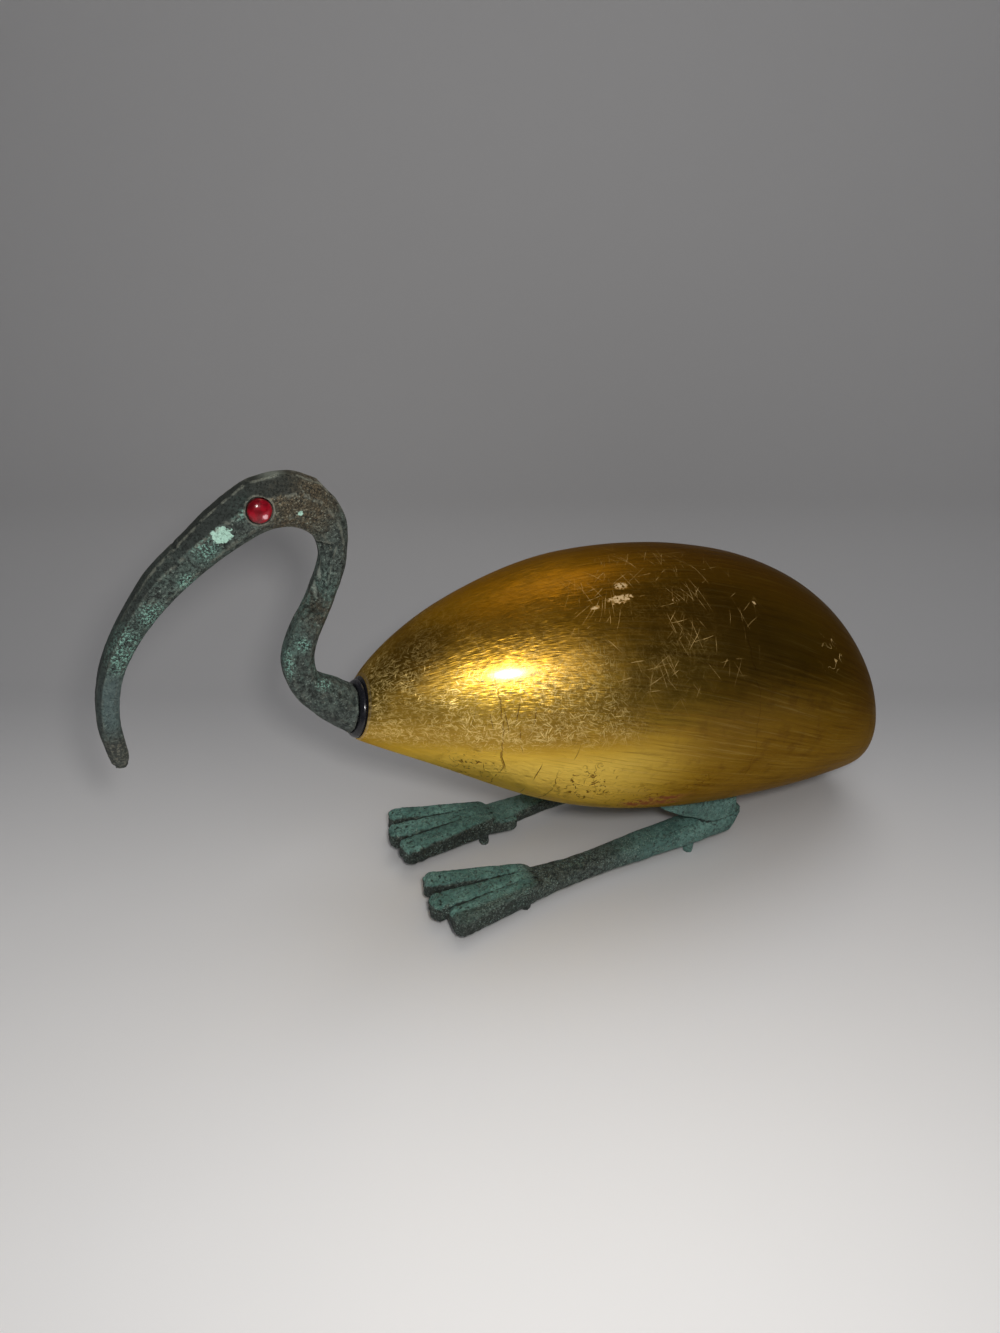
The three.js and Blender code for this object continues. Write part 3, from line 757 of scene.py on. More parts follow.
def tarsus_bar(foot):
    """The folded leg from the ankle back to the hock."""
    knots = [
        (ANKLE_WIDTH, ANKLE_HEIGHT), (WAIST_WIDTH, WAIST_HEIGHT),
        ((WAIST_WIDTH + HOCK_WIDTH) / 2, (2 * WAIST_HEIGHT + HOCK_HEIGHT) / 3),
        (HOCK_WIDTH, (WAIST_HEIGHT + HOCK_HEIGHT) / 2), (HOCK_WIDTH, HOCK_HEIGHT),
    ]
    sizes = smooth_curve(knots, TARSUS_STEPS_PER_SPAN)
    along = np.linspace(0, 1, len(sizes))[:, None]
    across, up = squared_circle(*TARSUS_SECTION)
    end = nose(along, *TARSUS_NOSE)
    back = along * TARSUS_LENGTH - HEEL_CUT * along ** HEEL_CUT_POWER * (1 - up) / 2
    right = sway_at(foot, back) + across * end * sizes[:, 0:1] / 2
    height = FOOT_SOLE + sizes[:, 1:2] / 2 * (1 + up * end)
    return tube(from_ankle(foot, back, right, height))


def thigh_bar(foot):
    """The thigh folds forward from the hock, its top shaped to the body's underside."""
    along = np.linspace(0, 1, THIGH_STEPS)[:, None]
    across, up = squared_circle(*THIGH_SECTION)
    back = TARSUS_LENGTH - THIGH_REAR_INSET - along * THIGH_REACH
    middle_y = foot["y"] + sway_at(foot, back)
    under = underside_at(foot["x"] + ANKLE_SHIFT + back, middle_y)
    rise = np.clip((along - THIGH_JOINED_SHARE) / (1 - THIGH_JOINED_SHARE), 0, 1) ** THIGH_RISE_POWER
    floor = FOOT_SOLE + THIGH_LIFT + (under - THIGH_FRONT_HEIGHT - FOOT_SOLE - THIGH_LIFT) * rise
    end = nose(along, *THIGH_NOSE)
    right = sway_at(foot, back) + across * THIGH_WIDTH * end / 2
    top = underside_at(foot["x"] + ANKLE_SHIFT + back, foot["y"] + right) - SEAT_GAP
    return tube(from_ankle(foot, back, right, floor + (top - floor) * (1 + up) / 2))


def peg_rod(foot, back, right):
    low = from_ankle(foot, back, right, 0.0)
    return rod(low, low + (0, 0, PEG_HEIGHT + PEG_INSIDE), PEG_RADIUS, 32)


def make_leg(name, foot, seed):
    """Foot, folded leg, thigh and pegs as one casting, with a grainy skin and ragged toes."""
    rear_peg = TARSUS_LENGTH - REAR_PEG_FROM_HEEL
    parts = [tarsus_bar(foot), thigh_bar(foot), hallux_bar(foot)]
    parts += [toe_bar(foot, toe) for toe in foot["toes"]]
    parts += [peg_rod(foot, foot["peg_back"], foot["peg_right"]),
              peg_rod(foot, rear_peg, float(sway_at(foot, rear_peg)))]
    piece = add_piece(name, joined(parts))
    remesh = piece.modifiers.new("join", "REMESH")
    remesh.mode = "VOXEL"
    remesh.voxel_size = LEG_VOXEL * MM
    remesh.use_smooth_shade = True
    apply_modifiers(piece)
    smooth = piece.modifiers.new("soften", "SMOOTH")
    smooth.factor = 0.5
    smooth.iterations = 2
    apply_modifiers(piece)
    places, directions = corners_of(piece)
    forward = foot["x"] + ANKLE_SHIFT - places[:, 0]
    ragged = smoothstep(forward, *TOE_NOISE_REACH)
    offset = noise_sum(places, LEG_NOISE, seed) + ragged * noise_sum(places, TOE_NOISE, seed)
    off_ground = smoothstep(places[:, 2], *SOLE_NOISE_HEIGHT)
    places = places + directions * (offset * off_ground)[:, None]
    under = underside_at(places[:, 0], places[:, 1]) - SEAT_GAP
    below_body = places[:, 0] > FRONT_FACE_X + BODY_OVER_LEGS
    places[:, 2] = np.where(below_body & (places[:, 2] > under) & (places[:, 2] < FRONT_FACE_Z),
                            under, places[:, 2])
    places[:, 2] = np.maximum(places[:, 2], 0)
    move_corners(piece, places)
    cut(piece, [leg_bolt_hole(foot)])
    return piece


# Materials

class Finish:
    """A material's nodes, made by short calls. Places and distances are in millimetres."""

    def __init__(self, name):
        self.material = bpy.data.materials.new(name)
        self.material.use_nodes = True
        self.tree = self.material.node_tree
        coordinates = self.node("TexCoord")
        self.place = self.vector("SCALE", coordinates.outputs["Object"], scale=1 / MM)
        self.normal = coordinates.outputs["Normal"]

    def put(self, socket, value):
        """Links what another node puts out, or sets a plain number, vector or colour."""
        if isinstance(value, bpy.types.NodeSocket):
            self.tree.links.new(value, socket)
        elif socket.type == "RGBA":
            socket.default_value = (*value, 1)
        else:
            socket.default_value = value

    def fill(self, node, inputs):
        """Puts values into a node's inputs, where _ in a name stands for a space."""
        for name, value in inputs.items():
            self.put(node.inputs[name.replace("_", " ")], value)

    def node(self, kind, settings=None, **inputs):
        """A new node with its settings and inputs."""
        node = self.tree.nodes.new("ShaderNode" + kind)
        for name, value in (settings or {}).items():
            setattr(node, name, value)
        self.fill(node, inputs)
        return node

    def vector(self, operation, a, b=None, scale=None):
        node = self.node("VectorMath", {"operation": operation})
        self.put(node.inputs[0], a)
        if b is not None:
            self.put(node.inputs[1], b)
        if scale is not None:
            self.put(node.inputs["Scale"], scale)
        return node.outputs["Value" if operation in ("LENGTH", "DISTANCE", "DOT_PRODUCT") else "Vector"]

    def math(self, operation, values, clamp=False):
        """Values taken together one after another by an operation."""
        result = values[0]
        for value in values[1:]:
            node = self.node("Math", {"operation": operation, "use_clamp": clamp})
            self.put(node.inputs[0], result)
            self.put(node.inputs[1], value)
            result = node.outputs[0]
        return result

    def plus(self, *values):
        return self.math("ADD", values)

    def minus(self, *values, clamp=False):
        return self.math("SUBTRACT", values, clamp)

    def times(self, *values):
        return self.math("MULTIPLY", values)

    def most(self, *values):
        return self.math("MAXIMUM", values)

    def gap(self, a, b):
        """How far apart two values are."""
        return self.math("ABSOLUTE", (self.minus(a, b), 0.0))

    def along(self, direction):
        """How far a place lies in a direction from the origin."""
        return self.vector("DOT_PRODUCT", self.place, direction)

    def facing(self, direction):
        """From -1 to 1, how squarely the surface faces a direction."""
        return self.vector("DOT_PRODUCT", self.normal, direction)

    def step(self, value, low, high, start=0.0, end=1.0):
        """Rises smoothly from start to end as the value goes from low to high."""
        node = self.node("MapRange", {"interpolation_type": "SMOOTHSTEP"}, Value=value,
                         From_Min=low, From_Max=high, To_Min=start, To_Max=end)
        return node.outputs["Result"]

    def turned(self, at, turn, length, width):
        """Places on a flat sheet turned by an angle, then counted in lengths along and widths across."""
        node = self.node("Mapping", Vector=at, Rotation=(0, 0, math.radians(turn)))
        return self.vector("MULTIPLY", node.outputs["Vector"], (1 / length, 1 / width, 0))

    def needles(self, at, share):
        """Needle-shaped spots, one in each cell of a random net: where they are, and a lean for each."""
        node = self.node("TexVoronoi", {"voronoi_dimensions": "2D"}, Vector=at, Scale=1)
        lean = self.vector("SUBTRACT", node.outputs["Color"], MIDDLE_GREY)
        return self.step(node.outputs["Distance"], share, share * 0.5), lean

    def grain(self, wavelength, detail=2.0, roughness=0.5, at=None, bend=0.0):
        """Noise from 0 to 1 with a wavelength in millimetres."""
        node = self.node("TexNoise", Vector=self.place if at is None else at, Scale=1 / wavelength,
                         Detail=detail, Roughness=roughness, Distortion=bend)
        return node.outputs["Fac"]

    def wobble(self, wavelength, detail, size, roughness=0.5):
        """Noise about 0 with a wavelength and a size."""
        return self.times(self.minus(self.grain(wavelength, detail, roughness), 0.5), size)

    def leans(self, at, detail=1.0):
        """A random lean in every direction: a vector with parts from about -0.25 to 0.25."""
        node = self.node("TexNoise", Vector=at, Scale=1, Detail=detail)
        return self.vector("SUBTRACT", node.outputs["Color"], MIDDLE_GREY)

    def pointed(self, low, high):
        """Rises from 0 to 1 as the surface goes from hollow to edge."""
        return self.step(self.node("NewGeometry").outputs["Pointiness"], low, high)

    def line(self, value, width):
        """1 along the thin lines where a noise passes its middle value."""
        return self.step(self.gap(value, 0.5), width, width * 0.3)

    def blend(self, share, a, b):
        """The first colour where the share is 0 and the second where it is 1."""
        return self.node("Mix", {"data_type": "RGBA"}, Factor=share, A=a, B=b).outputs["Result"]

    def over(self, colour, *layers):
        """A colour under layers, each given as its colour, then where it lies and how strong it is."""
        for tint, *shares in layers:
            colour = self.blend(self.times(*shares), colour, tint)
        return colour

    def near(self, centre, reach, soft=0.5, stretch=(1, 1, 1), raggedness=0.0):
        """1 within reach of a place, falling to 0 over a share of that reach, with a ragged edge."""
        offset = self.vector("SUBTRACT", self.place, centre)
        distance = self.vector("LENGTH", self.vector("MULTIPLY", offset, stretch))
        if raggedness:
            distance = self.plus(distance, self.wobble(reach * 0.5, 3, raggedness * reach))
        return self.step(distance, reach, reach * (1 - soft))

    def spots(self, *rows):
        """1 near any of several places, each a row of what near() takes."""
        return self.most(*(self.near(*row) for row in rows))

    def bump(self, height, depth, below=None):
        """A bump of a depth for a height from 0 to 1, on another normal where one is given."""
        node = self.node("Bump", Strength=1, Distance=depth * MM, Height=height)
        if below is not None:
            self.put(node.inputs["Normal"], below)
        return node.outputs["Normal"]

    def finish(self, **inputs):
        self.fill(self.tree.nodes["Principled BSDF"], inputs)
        return self.material


def leaf_sheet(f, wave):
    """The body's skin laid flat: distance along it, and round it from the top, with waves of a height."""
    x, y, z = (f.along(axis) for axis in (X_AXIS, Y_AXIS, Z_AXIS))
    middle = f.step(x, -20, 150, FRONT_FACE_Z, FRONT_FACE_Z - TAIL_DOWN)
    angle = f.math("ARCTAN2", (y, f.minus(z, middle)))
    sheet = f.node("CombineXYZ", X=x, Y=f.times(angle, SHEET_RADIUS)).outputs["Vector"]
    waves = f.leans(f.vector("SCALE", f.place, scale=1 / SHEET_WAVELENGTH))
    return f.vector("ADD", sheet, f.vector("SCALE", waves, scale=wave))


def hatching(f, sheet):
    """Short burnishing scratches that cross: where they are, and the lean that they give the leaf."""
    marks = []
    lean = (0, 0, 0)
    for turn in HATCH_TURNS:
        mark, tilt = f.needles(f.turned(sheet, turn, 11, 1.35), 0.115)
        mark = f.times(mark, f.step(f.vector("DOT_PRODUCT", tilt, X_AXIS), -0.2, 0.45, 0.1, 1))
        marks.append(mark)
        ripple = f.leans(f.turned(sheet, turn + 9, 4, 0.34))
        lean = f.vector("ADD", lean, f.vector("SCALE", tilt, scale=mark))
        lean = f.vector("ADD", lean, f.vector("SCALE", ripple, scale=0.1))
    return f.most(*marks), lean


def scribbles(f):
    """Dense fine scratches that curl, where the leaf was rubbed."""
    other_place = f.vector("ADD", f.place, (31, 17, 5))
    curls = f.most(f.line(f.grain(1.9, 2, 0.6, bend=1.3), 0.032),
                   f.line(f.grain(1.4, 2, 0.6, other_place, 1.0), 0.036))
    return f.times(curls, f.step(f.grain(1.1), 0.42, 0.56))


def hair_lines(f, sheet, turns, length, width, share, gaps):
    """Sparse long thin scratches."""
    lines = [f.needles(f.turned(sheet, turn, length, width), share)[0] for turn in turns]
    return f.times(f.most(*lines), f.step(f.grain(gaps), 0.41, 0.52))


def leaf_tone(f, x, z, sheet):
    """The leaf's gold, streaked along the body: amber on top is a painted warm reflection, brown behind is
    painted shade, pale low in front is a painted reflection of the floor, lighter low behind, with spots of
    painted shade on the sides.
    """
    rear = f.step(x, -25, 50)
    middle = f.step(x, -22, 0)
    # Painted reflection of the pale floor, low in front
    painted_floor_reflection = f.times(f.step(z, 67, 58), f.step(x, 32, -5))
    low_rear = f.times(f.step(z, 52, 40), f.step(x, 20, 45))
    streaks = f.grain(1, 4, 0.65, f.turned(sheet, 0, 40, 1.0))
    fine_streaks = f.grain(1, 3, 0.6, f.turned(sheet, 2, 24, 0.5))
    blotches = f.times(f.step(f.grain(6, 4, 0.6), 0.5, 0.66), f.near(*BLOTCHED))
    gold = f.blend(f.step(f.grain(24, 3, 0.55), 0.35, 0.68), (0.74, 0.45, 0.040), (0.84, 0.54, 0.065))
    return f.over(
        gold,
        ((0.50, 0.26, 0.03), f.step(streaks, 0.42, 0.66), f.step(rear, 0, 1, 0.25, 0.6)),
        # Painted warm reflection on top
        ((0.66, 0.31, 0.012), f.step(z, 78, 96), 0.8),
        # Painted shade, darker brown towards the rear
        ((0.22, 0.113, 0.015), rear, 0.88),
        # Painted reflection of the pale floor, low in front
        ((0.98, 0.72, 0.15), painted_floor_reflection, 0.6),
        ((0.20, 0.108, 0.012), f.near(*HIGH_SIDE_SHADE), 0.5),
        ((0.50, 0.30, 0.05), low_rear, 0.4),
        ((0.17, 0.085, 0.014), f.near(*LOW_SIDE_SHADE), 0.3),
        ((0.26, 0.125, 0.01), f.near(*SHOULDER_SHADE), 0.45),
        ((0.62, 0.43, 0.14), f.step(fine_streaks, 0.54, 0.68), middle, 0.26),
        ((0.13, 0.062, 0.01), f.step(fine_streaks, 0.46, 0.34), middle, 0.34),
        ((0.16, 0.075, 0.015), blotches, 0.45))


def leaf_cracks(f, x, z, sheet, worn):
    """Dark lines in the leaf: crazing under the belly, the edges where two leaves lap, and cuts."""
    crazing = f.times(f.line(f.grain(4.2, 2, 0.55, bend=1.0), 0.034), f.step(worn, 0.46, 0.52),
                      f.spots(*CRAZED))
    laps = []
    for lap, darkness, top in LEAF_LAPS:
        distance = f.gap(f.plus(x, f.wobble(7, 3, 4.5)), lap)
        laps.append(f.times(f.step(distance, 0.22, 0.05), f.step(f.grain(4), 0.36, 0.48),
                            f.step(z, top, top - 8), darkness))
    cuts = f.times(hair_lines(f, sheet, CUT_TURNS, 60, 1.6, 0.085, 8), f.spots(*CUT_PLACES))
    return f.most(crazing, *laps, cuts)


def pale_scratches(f):
    """Long fine hair lines over the shoulder, and a few open loops on the flank."""
    hairs = f.times(hair_lines(f, leaf_sheet(f, 2.2), HAIR_TURNS, 80, 1.2, 0.06, 5),
                    f.near(*HAIR_LINED), f.step(f.grain(1.5), 0.3, 0.65, 0.3, 1))
    loops = f.times(f.line(f.grain(4.6, 1, bend=0.4), 0.012), f.step(f.grain(2.5), 0.44, 0.54),
                    f.near(*LOOPED))
    return f.most(hairs, loops)


def leaf_normal(f, sheet, front, rubbing, hollows):
    """Fine brushing behind and burnishing in front lean the leaf, and dents lie under it."""
    brushed = f.leans(f.turned(sheet, 0, 40, 0.8), 3)
    burnish = f.vector("MULTIPLY", f.leans(f.turned(sheet, 6, 2.2, 0.22), 2), (0.3, 1, 1))
    lean = f.vector("ADD", f.vector("SCALE", brushed, scale=f.step(front, 0, 1, 0.34, 0.10)),
                    f.vector("SCALE", burnish, scale=front))
    lean = f.vector("ADD", lean, rubbing)
    tilted = f.vector("NORMALIZE", f.vector("ADD", f.normal, lean))
    return f.bump(f.minus(f.times(f.grain(1.6, 3, 0.55), 0.5), hollows), 0.04, tilted)


def gilding():
    """Gold leaf on carved wood: brushed and cross-scratched, with laps, crazing, scuffs and wear, and painted
    shade over the front.
    """
    f = Finish("gold_leaf")
    x = f.along(X_AXIS)
    z = f.along(Z_AXIS)
    sheet = leaf_sheet(f, 4.5)
    straight_sheet = leaf_sheet(f, 0.8)
    front = f.step(x, 24, -10)
    worn = f.grain(2.2, 4, 0.65)
    dark_lines = leaf_cracks(f, x, z, sheet, worn)
    pale = pale_scratches(f)

    ragged_x = f.plus(x, f.wobble(8, 3, 36))
    # Painted shade over the front, kept off where the key lamp's highlight falls
    spared = f.minus(1.0, f.times(f.near(*GLINT), 0.8))
    painted_front_shade = f.times(f.step(ragged_x, 24, -8), f.step(z, 63, 69), f.step(z, 96, 88, 0.05, 1), spared)
    marks, lean = hatching(f, sheet)
    marks = f.most(marks, f.times(scribbles(f), 0.75))
    breast = f.times(f.step(ragged_x, 22, -12), f.step(z, 63, 70), f.step(z, 98, 79, 0.1, 1))
    hatched = f.times(f.most(breast, f.times(f.near(*HATCHED_SHOULDER), 0.25)),
                      f.step(f.grain(9), 0.3, 0.6, 0.35, 1))
    bole = f.times(f.near(*BOLE), f.step(worn, 0.4, 0.52))
    scuffs = f.times(f.spots(*SCUFFS), f.step(f.grain(0.9, 3), 0.42, 0.54))

    edge_place = FRONT_FACE + LACQUER_OVER_BODY * JOINT_AXIS
    before_edge = f.vector("DOT_PRODUCT", f.vector("SUBTRACT", f.place, edge_place), -JOINT_AXIS)
    lacquer = f.step(before_edge, 0.0, 0.12)
    colour = f.over(
        leaf_tone(f, x, z, straight_sheet),
        ((0.15, 0.062, 0.014), dark_lines, 0.92),
        # Painted shade over the front
        ((0.28, 0.155, 0.03), painted_front_shade, 0.62),
        ((0.98, 0.74, 0.28), marks, hatched, 0.8),
        ((0.80, 0.57, 0.25), pale, 0.65),
        ((0.24, 0.075, 0.018), bole),
        ((0.52, 0.37, 0.19), scuffs),
        ((0.62, 0.45, 0.24), f.step(f.gap(before_edge, -0.2), 0.25, 0.05), 0.5),
        ((0.010, 0.010, 0.012), lacquer))

    bare = f.most(f.times(bole, 0.5), scuffs, lacquer, f.times(pale, 0.6), f.times(marks, hatched, 0.38))
    rough = f.plus(f.step(f.grain(5, 3), 0.3, 0.7, 0.36, 0.43), f.times(front, 0.03),
                   f.times(f.most(bole, scuffs), 0.3))
    coat = f.plus(0.06, f.times(f.near(*COATED), 0.75))
    hollows = f.most(f.times(dark_lines, 0.9), bole, scuffs)
    rubbing = f.vector("SCALE", lean, scale=f.times(hatched, 0.3))
    return f.finish(
        Base_Color=colour, Metallic=f.minus(1.0, bare, clamp=True),
        Roughness=f.times(rough, f.step(lacquer, 0, 1, 1, 0.45)),
        Specular_Tint=(0.40, 0.33, 0.24), Specular_IOR_Level=0.3, Coat_Roughness=0.17,
        Coat_Weight=f.times(coat, f.step(f.most(dark_lines, bole, scuffs), 0, 0.5, 1, 0)),
        Normal=leaf_normal(f, straight_sheet, front, rubbing, hollows))


def verdigris(f, region, pale_region, brown_region=0.0):
    """Colour and normal of grainy bronze with green bloom, for shares of each from 0 to 1."""
    broad = f.grain(7, 4, 0.6)
    middle = f.grain(1.25, 6, 0.75)
    speck = f.grain(0.46, 4, 0.65)
    pits = f.step(f.grain(0.6, 3, 0.65), 0.46, 0.36)
    bronze = f.blend(f.step(middle, 0.38, 0.62), (0.019, 0.026, 0.023), (0.088, 0.108, 0.094))
    brown = f.blend(f.step(speck, 0.45, 0.62), (0.046, 0.036, 0.020), (0.150, 0.112, 0.064))
    green = f.blend(f.step(broad, 0.35, 0.65), (0.050, 0.092, 0.078), (0.090, 0.150, 0.128))
    bloom = f.step(f.plus(f.times(middle, 0.6), f.times(broad, 0.4)), 0.44, 0.6)
    colour = f.over(
        bronze,
        (brown, brown_region, 0.92),
        (green, bloom, region),
        ((0.30, 0.36, 0.31), f.step(speck, 0.56, 0.66), f.step(middle, 0.4, 0.6), 0.85),
        ((0.27, 0.52, 0.43), f.step(speck, 0.47, 0.58), pale_region, 0.85),
        (PIT_DARK, pits, 0.8))
    height = f.minus(f.plus(f.times(speck, 0.6), f.times(middle, 0.7)), f.times(pits, 0.5))
    return colour, f.bump(height, 0.42)


def ragged_patch(f, centre, reach):
    """A patch that is solid in the middle and breaks up towards its edge."""
    return f.step(f.plus(f.near(centre, reach, 0.9, (1, 0.7, 1.1)), f.wobble(1.1, 4, 1.7, 0.65)), 0.48, 0.6)


def head_patina():
    """Bronze of the neck, head and beak, with its mint patches, brown nape and worn flats, painted highlights
    on the flats, and painted shade on the crown top, the beak's outer side and in hollows.
    """
    f = Finish("patina_head")
    height = f.along(Z_AXIS)
    beak = f.step(f.along((-1, 0, 0)), 74, 80)
    region = f.most(
        f.times(beak, 0.35), f.times(f.near(*GREEN_BEAK_BASE), 0.85), f.times(f.near(*GREEN_BEAK), 0.8),
        f.spots(*GREEN_NECK))
    brown = f.most(f.near(*BROWN_NAPE), f.times(f.near(*BROWN_NECK), 0.7))
    bronze, normal = verdigris(f, f.plus(f.times(region, 0.85), 0.12), f.spots(*PALE_SPOTS), brown)

    tip_colour = f.blend(f.step(f.grain(0.7, 3), 0.5, 0.62), (0.045, 0.048, 0.042), (0.17, 0.165, 0.13))
    mint = f.most(ragged_patch(f, *MINT_PATCH), f.near(*MINT_DOT))
    eye_x, _, eye_z = eye_place(1)
    from_eye = f.vector("DISTANCE", f.vector("MULTIPLY", f.place, (1, 0, 1)), (eye_x, 0, eye_z))
    rim = f.step(from_eye, EYE_RADIUS + 0.8, EYE_RADIUS + 0.35)
    top = f.step(f.facing(Z_AXIS), 0.3, 0.55)
    # Painted shade on the beak's outer side
    shaded_outer_side = f.step(f.facing((-0.8, 0, 0.6)), 0.35, 0.6)
    edge = f.times(f.pointed(0.504, 0.518), f.step(f.grain(2, 3), 0.40, 0.55))
    # Worn flats, smoother, with a painted highlight on them
    polish_and_highlight = f.most(f.spots(*NECK_WEAR_AND_HIGHLIGHT), f.times(f.near(*CROWN_WEAR_AND_HIGHLIGHT), top))
    colour = f.over(
        bronze,
        ((0.32, 0.26, 0.16), f.near(*TAN_TEMPLE), f.step(f.grain(0.9), 0.54, 0.62), 0.6),
        ((0.11, 0.165, 0.165), f.near(*TEAL_BEAK), 0.6),
        (tip_colour, f.step(height, 82, 78), beak, 0.8),
        ((0.46, 0.72, 0.60), mint),
        ((0.26, 0.24, 0.19), rim, 0.5),
        # Painted shade on the crown's upward faces
        ((0.024, 0.029, 0.025), top, f.near(*SHADED_CROWN_TOP), 0.92),
        # Painted shade on the beak's outer side
        ((0.024, 0.030, 0.027), shaded_outer_side, beak, 0.75),
        ((0.20, 0.21, 0.17), edge, f.step(height, 110, 122, 0.2, 0.6)),
        # Painted shade in hollows
        ((0.016, 0.020, 0.018), f.pointed(0.497, 0.485), 0.6),
        # Painted highlight on the worn flats
        ((0.30, 0.34, 0.29), polish_and_highlight, 0.7))
    rough = f.minus(f.step(f.grain(1.5, 3), 0.3, 0.7, 0.58, 0.78), f.times(polish_and_highlight, 0.3))
    return f.finish(Base_Color=colour, Metallic=0.15, Roughness=rough, Normal=normal)


def leg_patina():
    """Bronze of the feet and legs, with teal dust on what faces up, and painted shade on the toes' sides and
    in the grooves.
    """
    f = Finish("patina_legs")
    up = f.facing(Z_AXIS)
    x = f.along(X_AXIS)
    y = f.along(Y_AXIS)
    top = f.step(up, 0.45, 0.9)
    toes = f.step(x, -9, -15)
    rear = f.step(x, 10, 34)
    far = f.step(y, 0, 6)
    near_outer_toe = f.times(f.step(y, -17.5, -19.5), toes)
    dusty = f.times(f.most(f.times(toes, top), f.times(rear, 0.8), f.times(far, top, 0.8)),
                    f.minus(1.0, f.times(near_outer_toe, 0.88)))
    bronze, normal = verdigris(f, f.plus(f.times(dusty, 0.6), 0.1),
                               f.times(f.step(f.grain(6), 0.55, 0.7), 0.3))
    dust = f.times(dusty, f.step(f.grain(1.2, 5, 0.75), 0.32, 0.52))
    # Painted shade on the toes' sides
    shaded_toe_sides = f.times(toes, f.step(up, 0.6, 0.2), f.step(f.grain(0.7, 3), 0.62, 0.5))
    flecks = f.times(f.step(f.grain(0.45, 4, 0.65), 0.55, 0.63), f.step(f.grain(4, 3), 0.4, 0.6))
    teal = f.blend(f.step(f.grain(7, 3), 0.35, 0.65), (0.098, 0.235, 0.203), (0.185, 0.385, 0.335))
    colour = f.over(
        bronze,
        (teal, dust, 0.8),
        ((0.045, 0.088, 0.078), f.step(f.grain(1.5, 4, 0.7), 0.48, 0.6), dusty, 0.5),
        # Painted shade on the toes' sides
        ((0.016, 0.023, 0.019), shaded_toe_sides, 0.85),
        ((0.26, 0.37, 0.32), flecks, 0.8),
        ((0.020, 0.032, 0.027), f.step(f.grain(0.5, 3, 0.6), 0.42, 0.34), 0.28),
        ((0.16, 0.31, 0.27), f.near(*BRIGHT_ANKLE), dust, 0.6),
        # Painted shade in the grooves
        (GROOVE_SHADE, f.pointed(0.495, 0.476), 0.92))
    rough = f.step(f.grain(1.5, 3), 0.3, 0.7, 0.62, 0.82)
    return f.finish(Base_Color=colour, Metallic=0.1, Roughness=rough, Normal=normal)


def in_eyes(f, offset, reach, soft, raggedness):
    """1 round a place in each eye, given ahead, outward and up from the eye's own place."""
    ahead, outward, up = offset
    centres = [eye_place(side) + (ahead, side * outward, up) for side in (-1, 1)]
    return f.most(*(f.near(centre, reach, soft, raggedness=raggedness) for centre in centres))


def crimson_glass():
    """Crimson glass over foil, darker and bubbly towards the top, with a painted glow and a painted highlight
    low on each eye.
    """
    f = Finish("crimson_glass")
    middle = eye_place(1)[2]
    top = f.step(f.along(Z_AXIS), middle - 0.5, middle + 2.6)
    bubbles = f.step(f.grain(0.7), 0.5, 0.6)
    colour = f.over(
        f.blend(f.step(f.grain(2), 0.35, 0.65), (0.14, 0.001, 0.005), (0.30, 0.004, 0.014)),
        ((0.07, 0.001, 0.004), top, f.plus(f.times(bubbles, 0.4), 0.4)),
        # Painted glow of light through the glass, low on each eye
        ((0.52, 0.03, 0.06), in_eyes(f, (0.9, 2.6, -1.1), 1.7, 0.9, 1.0), 0.6),
        # Painted highlight, low on each eye
        ((0.90, 0.50, 0.55), in_eyes(f, (0.8, 2.6, -1.0), 0.75, 0.5, 1.4), 0.9))
    return f.finish(Base_Color=colour, Metallic=0.0, Roughness=0.26, Specular_IOR_Level=0.3,
                    Coat_Weight=0.25, Coat_Roughness=0.1, Normal=f.bump(f.grain(1.1), 0.09))


def black_lacquer():
    """Gloss black with faint dust and a slightly uneven coat."""
    f = Finish("black_lacquer")
    dust = f.step(f.grain(0.5, 3), 0.55, 0.75)
    colour = f.blend(f.times(dust, 0.3), (0.008, 0.008, 0.011), (0.05, 0.05, 0.055))
    rough = f.step(f.grain(2, 3), 0.3, 0.7, 0.22, 0.34)
    return f.finish(Base_Color=colour, Roughness=rough, Specular_IOR_Level=0.35, Coat_Weight=0.15,
                    Coat_Roughness=0.08, Normal=f.bump(f.grain(1.2), 0.02))


def zinc_steel():
    """Zinc-plated steel with a mottled bloom."""
    f = Finish("zinc_steel")
    colour = f.blend(f.step(f.grain(1.4, 3), 0.35, 0.65), (0.42, 0.42, 0.41), (0.62, 0.62, 0.60))
    rough = f.step(f.grain(0.8, 3), 0.3, 0.7, 0.3, 0.5)
    return f.finish(Base_Color=colour, Metallic=1.0, Roughness=rough, Normal=f.bump(f.grain(0.4), 0.02))


def plain_paper(away, start):
    """The sweep's plain matt finish: pale under the figure, greyer far behind it and behind the camera, as a
    painted falloff of light.
    """
    f = Finish("pale_floor")
    distance = f.along((*away, 0))
    fades = [f.step(distance, start + low, start + high) for low, high in (FADE_BEHIND, FADE_BEFORE)]
    # Painted falloff of light: greyer away from the figure both ways
    painted_falloff = [(BACKDROP_COLOUR, fade) for fade in fades]
    colour = f.over(FLOOR_COLOUR, *painted_falloff, (MIDDLE_GREY, f.grain(40), 0.04))
    return f.finish(Base_Color=colour, Roughness=0.75)


# Staging

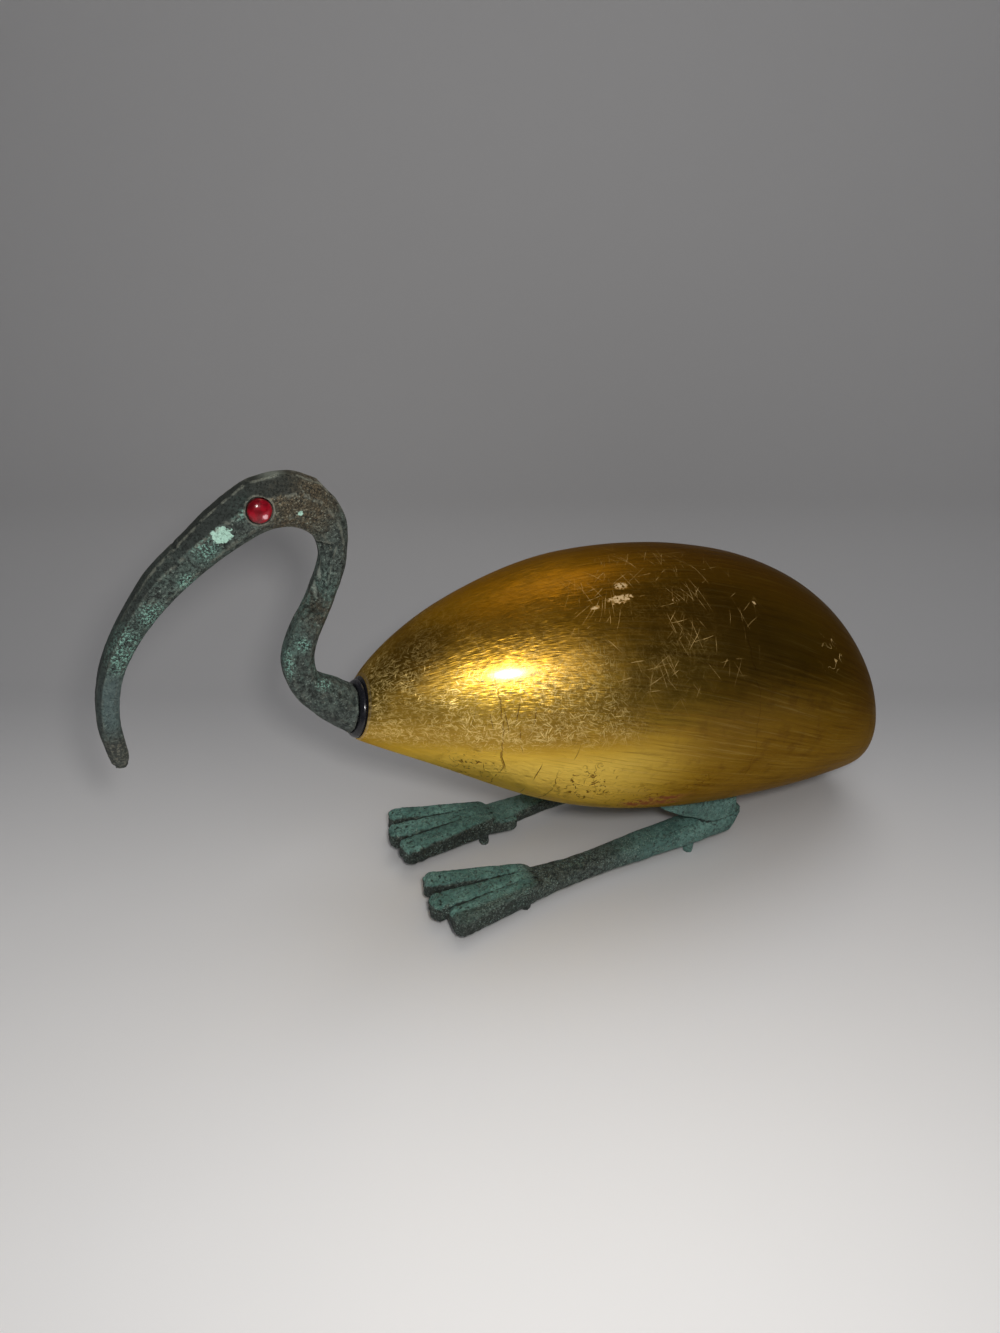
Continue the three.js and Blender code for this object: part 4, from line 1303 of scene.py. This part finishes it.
def make_floor():
    """A plain pale floor that sweeps up into a backdrop."""
    across = np.array(polar((0, 0), 1, -CAMERA_HEADING))
    away = np.array([-across[1], across[0]])
    middle = np.array(CAMERA_PLACE[:2])
    turn = np.linspace(0, np.pi / 2, WALL_BEND_STEPS + 1)
    bend = WALL_DISTANCE - WALL_BEND * (1 - np.sin(turn))
    reach = np.concatenate([[FLOOR_NEAR], bend, [WALL_DISTANCE]])
    rise = np.concatenate([[0], WALL_BEND * (1 - np.cos(turn)), [WALL_HEIGHT]])
    sides = np.array([-FLOOR_HALF_WIDTH, FLOOR_HALF_WIDTH])
    ground = middle + reach[:, None, None] * away + sides[None, :, None] * across
    grid = np.concatenate([ground, np.broadcast_to(rise[:, None, None], (len(reach), 2, 1))], axis=-1)
    faces = [(2 * i, 2 * i + 1, 2 * i + 3, 2 * i + 2) for i in range(len(reach) - 1)]
    mesh = bpy.data.meshes.new("floor")
    mesh.from_pydata((grid.reshape(-1, 3) * MM).tolist(), [], faces)
    floor = add_object("floor", mesh)
    mesh.shade_smooth()
    mesh.materials.append(plain_paper(away, float(middle @ away)))


def make_camera():
    """The camera that took the photograph."""
    data = bpy.data.cameras.new("camera")
    data.sensor_width = SENSOR
    data.lens = SENSOR * FOCAL_LENGTH_PX / FRAME_HEIGHT_PX
    data.clip_start = 0.01
    camera = add_object("camera", data)
    camera.location = Vector(CAMERA_PLACE) * MM
    camera.rotation_euler = (math.radians(90 - CAMERA_PITCH), 0, -math.radians(CAMERA_HEADING))
    bpy.context.scene.camera = camera


def add_lamp(name, place, target, size, watts, colour, mirrored):
    """A round lamp, turned to what it points at."""
    data = bpy.data.lights.new(name, "AREA")
    data.shape = "DISK"
    data.size = size * MM
    data.energy = watts
    data.color = colour
    lamp = add_object(name, data)
    lamp.location = Vector(place) * MM
    lamp.rotation_euler = (Vector(target) - Vector(place)).to_track_quat("-Z", "Y").to_euler()
    lamp.visible_glossy = mirrored


def make_light():
    """A small lamp beside the camera, a warm one behind, two broad soft ones and a dim grey surround."""
    world = bpy.data.worlds.new("surround")
    world.use_nodes = True
    surround = world.node_tree.nodes["Background"]
    surround.inputs["Color"].default_value = (*SURROUND_COLOUR, 1)
    surround.inputs["Strength"].default_value = 1
    bpy.context.scene.world = world
    for lamp in LAMPS:
        add_lamp(*lamp)


# Assembly

def dress(piece, material, node):
    """Gives a piece its material and slot, and puts it in its node's place."""
    piece.data.materials.clear()
    piece.data.materials.append(material)
    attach(piece, "root")
    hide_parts(node)


make_camera()
make_floor()
make_light()

dress(make_body(), gilding(), "body")
dress(make_collar(), black_lacquer(), "neck_collar")
dress(make_head_and_neck(), head_patina(), "head_and_neck")
leg_finish = leg_patina()
glass = crimson_glass()
for side, foot in FEET.items():
    leg = make_leg(f"bronze_{side}_leg", foot, LEG_SEEDS[side])
    dress(leg, leg_finish, f"{side}_leg")
    dress(make_eye(f"glass_{side}_eye", foot["side"]), glass, f"{side}_eye")
steel = zinc_steel()
for bolt in ("neck_bolt", "left_leg_bolt", "right_leg_bolt"):
    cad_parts[bolt].data.materials.clear()
    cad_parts[bolt].data.materials.append(steel)

bpy.context.scene.view_settings.view_transform = "Standard"
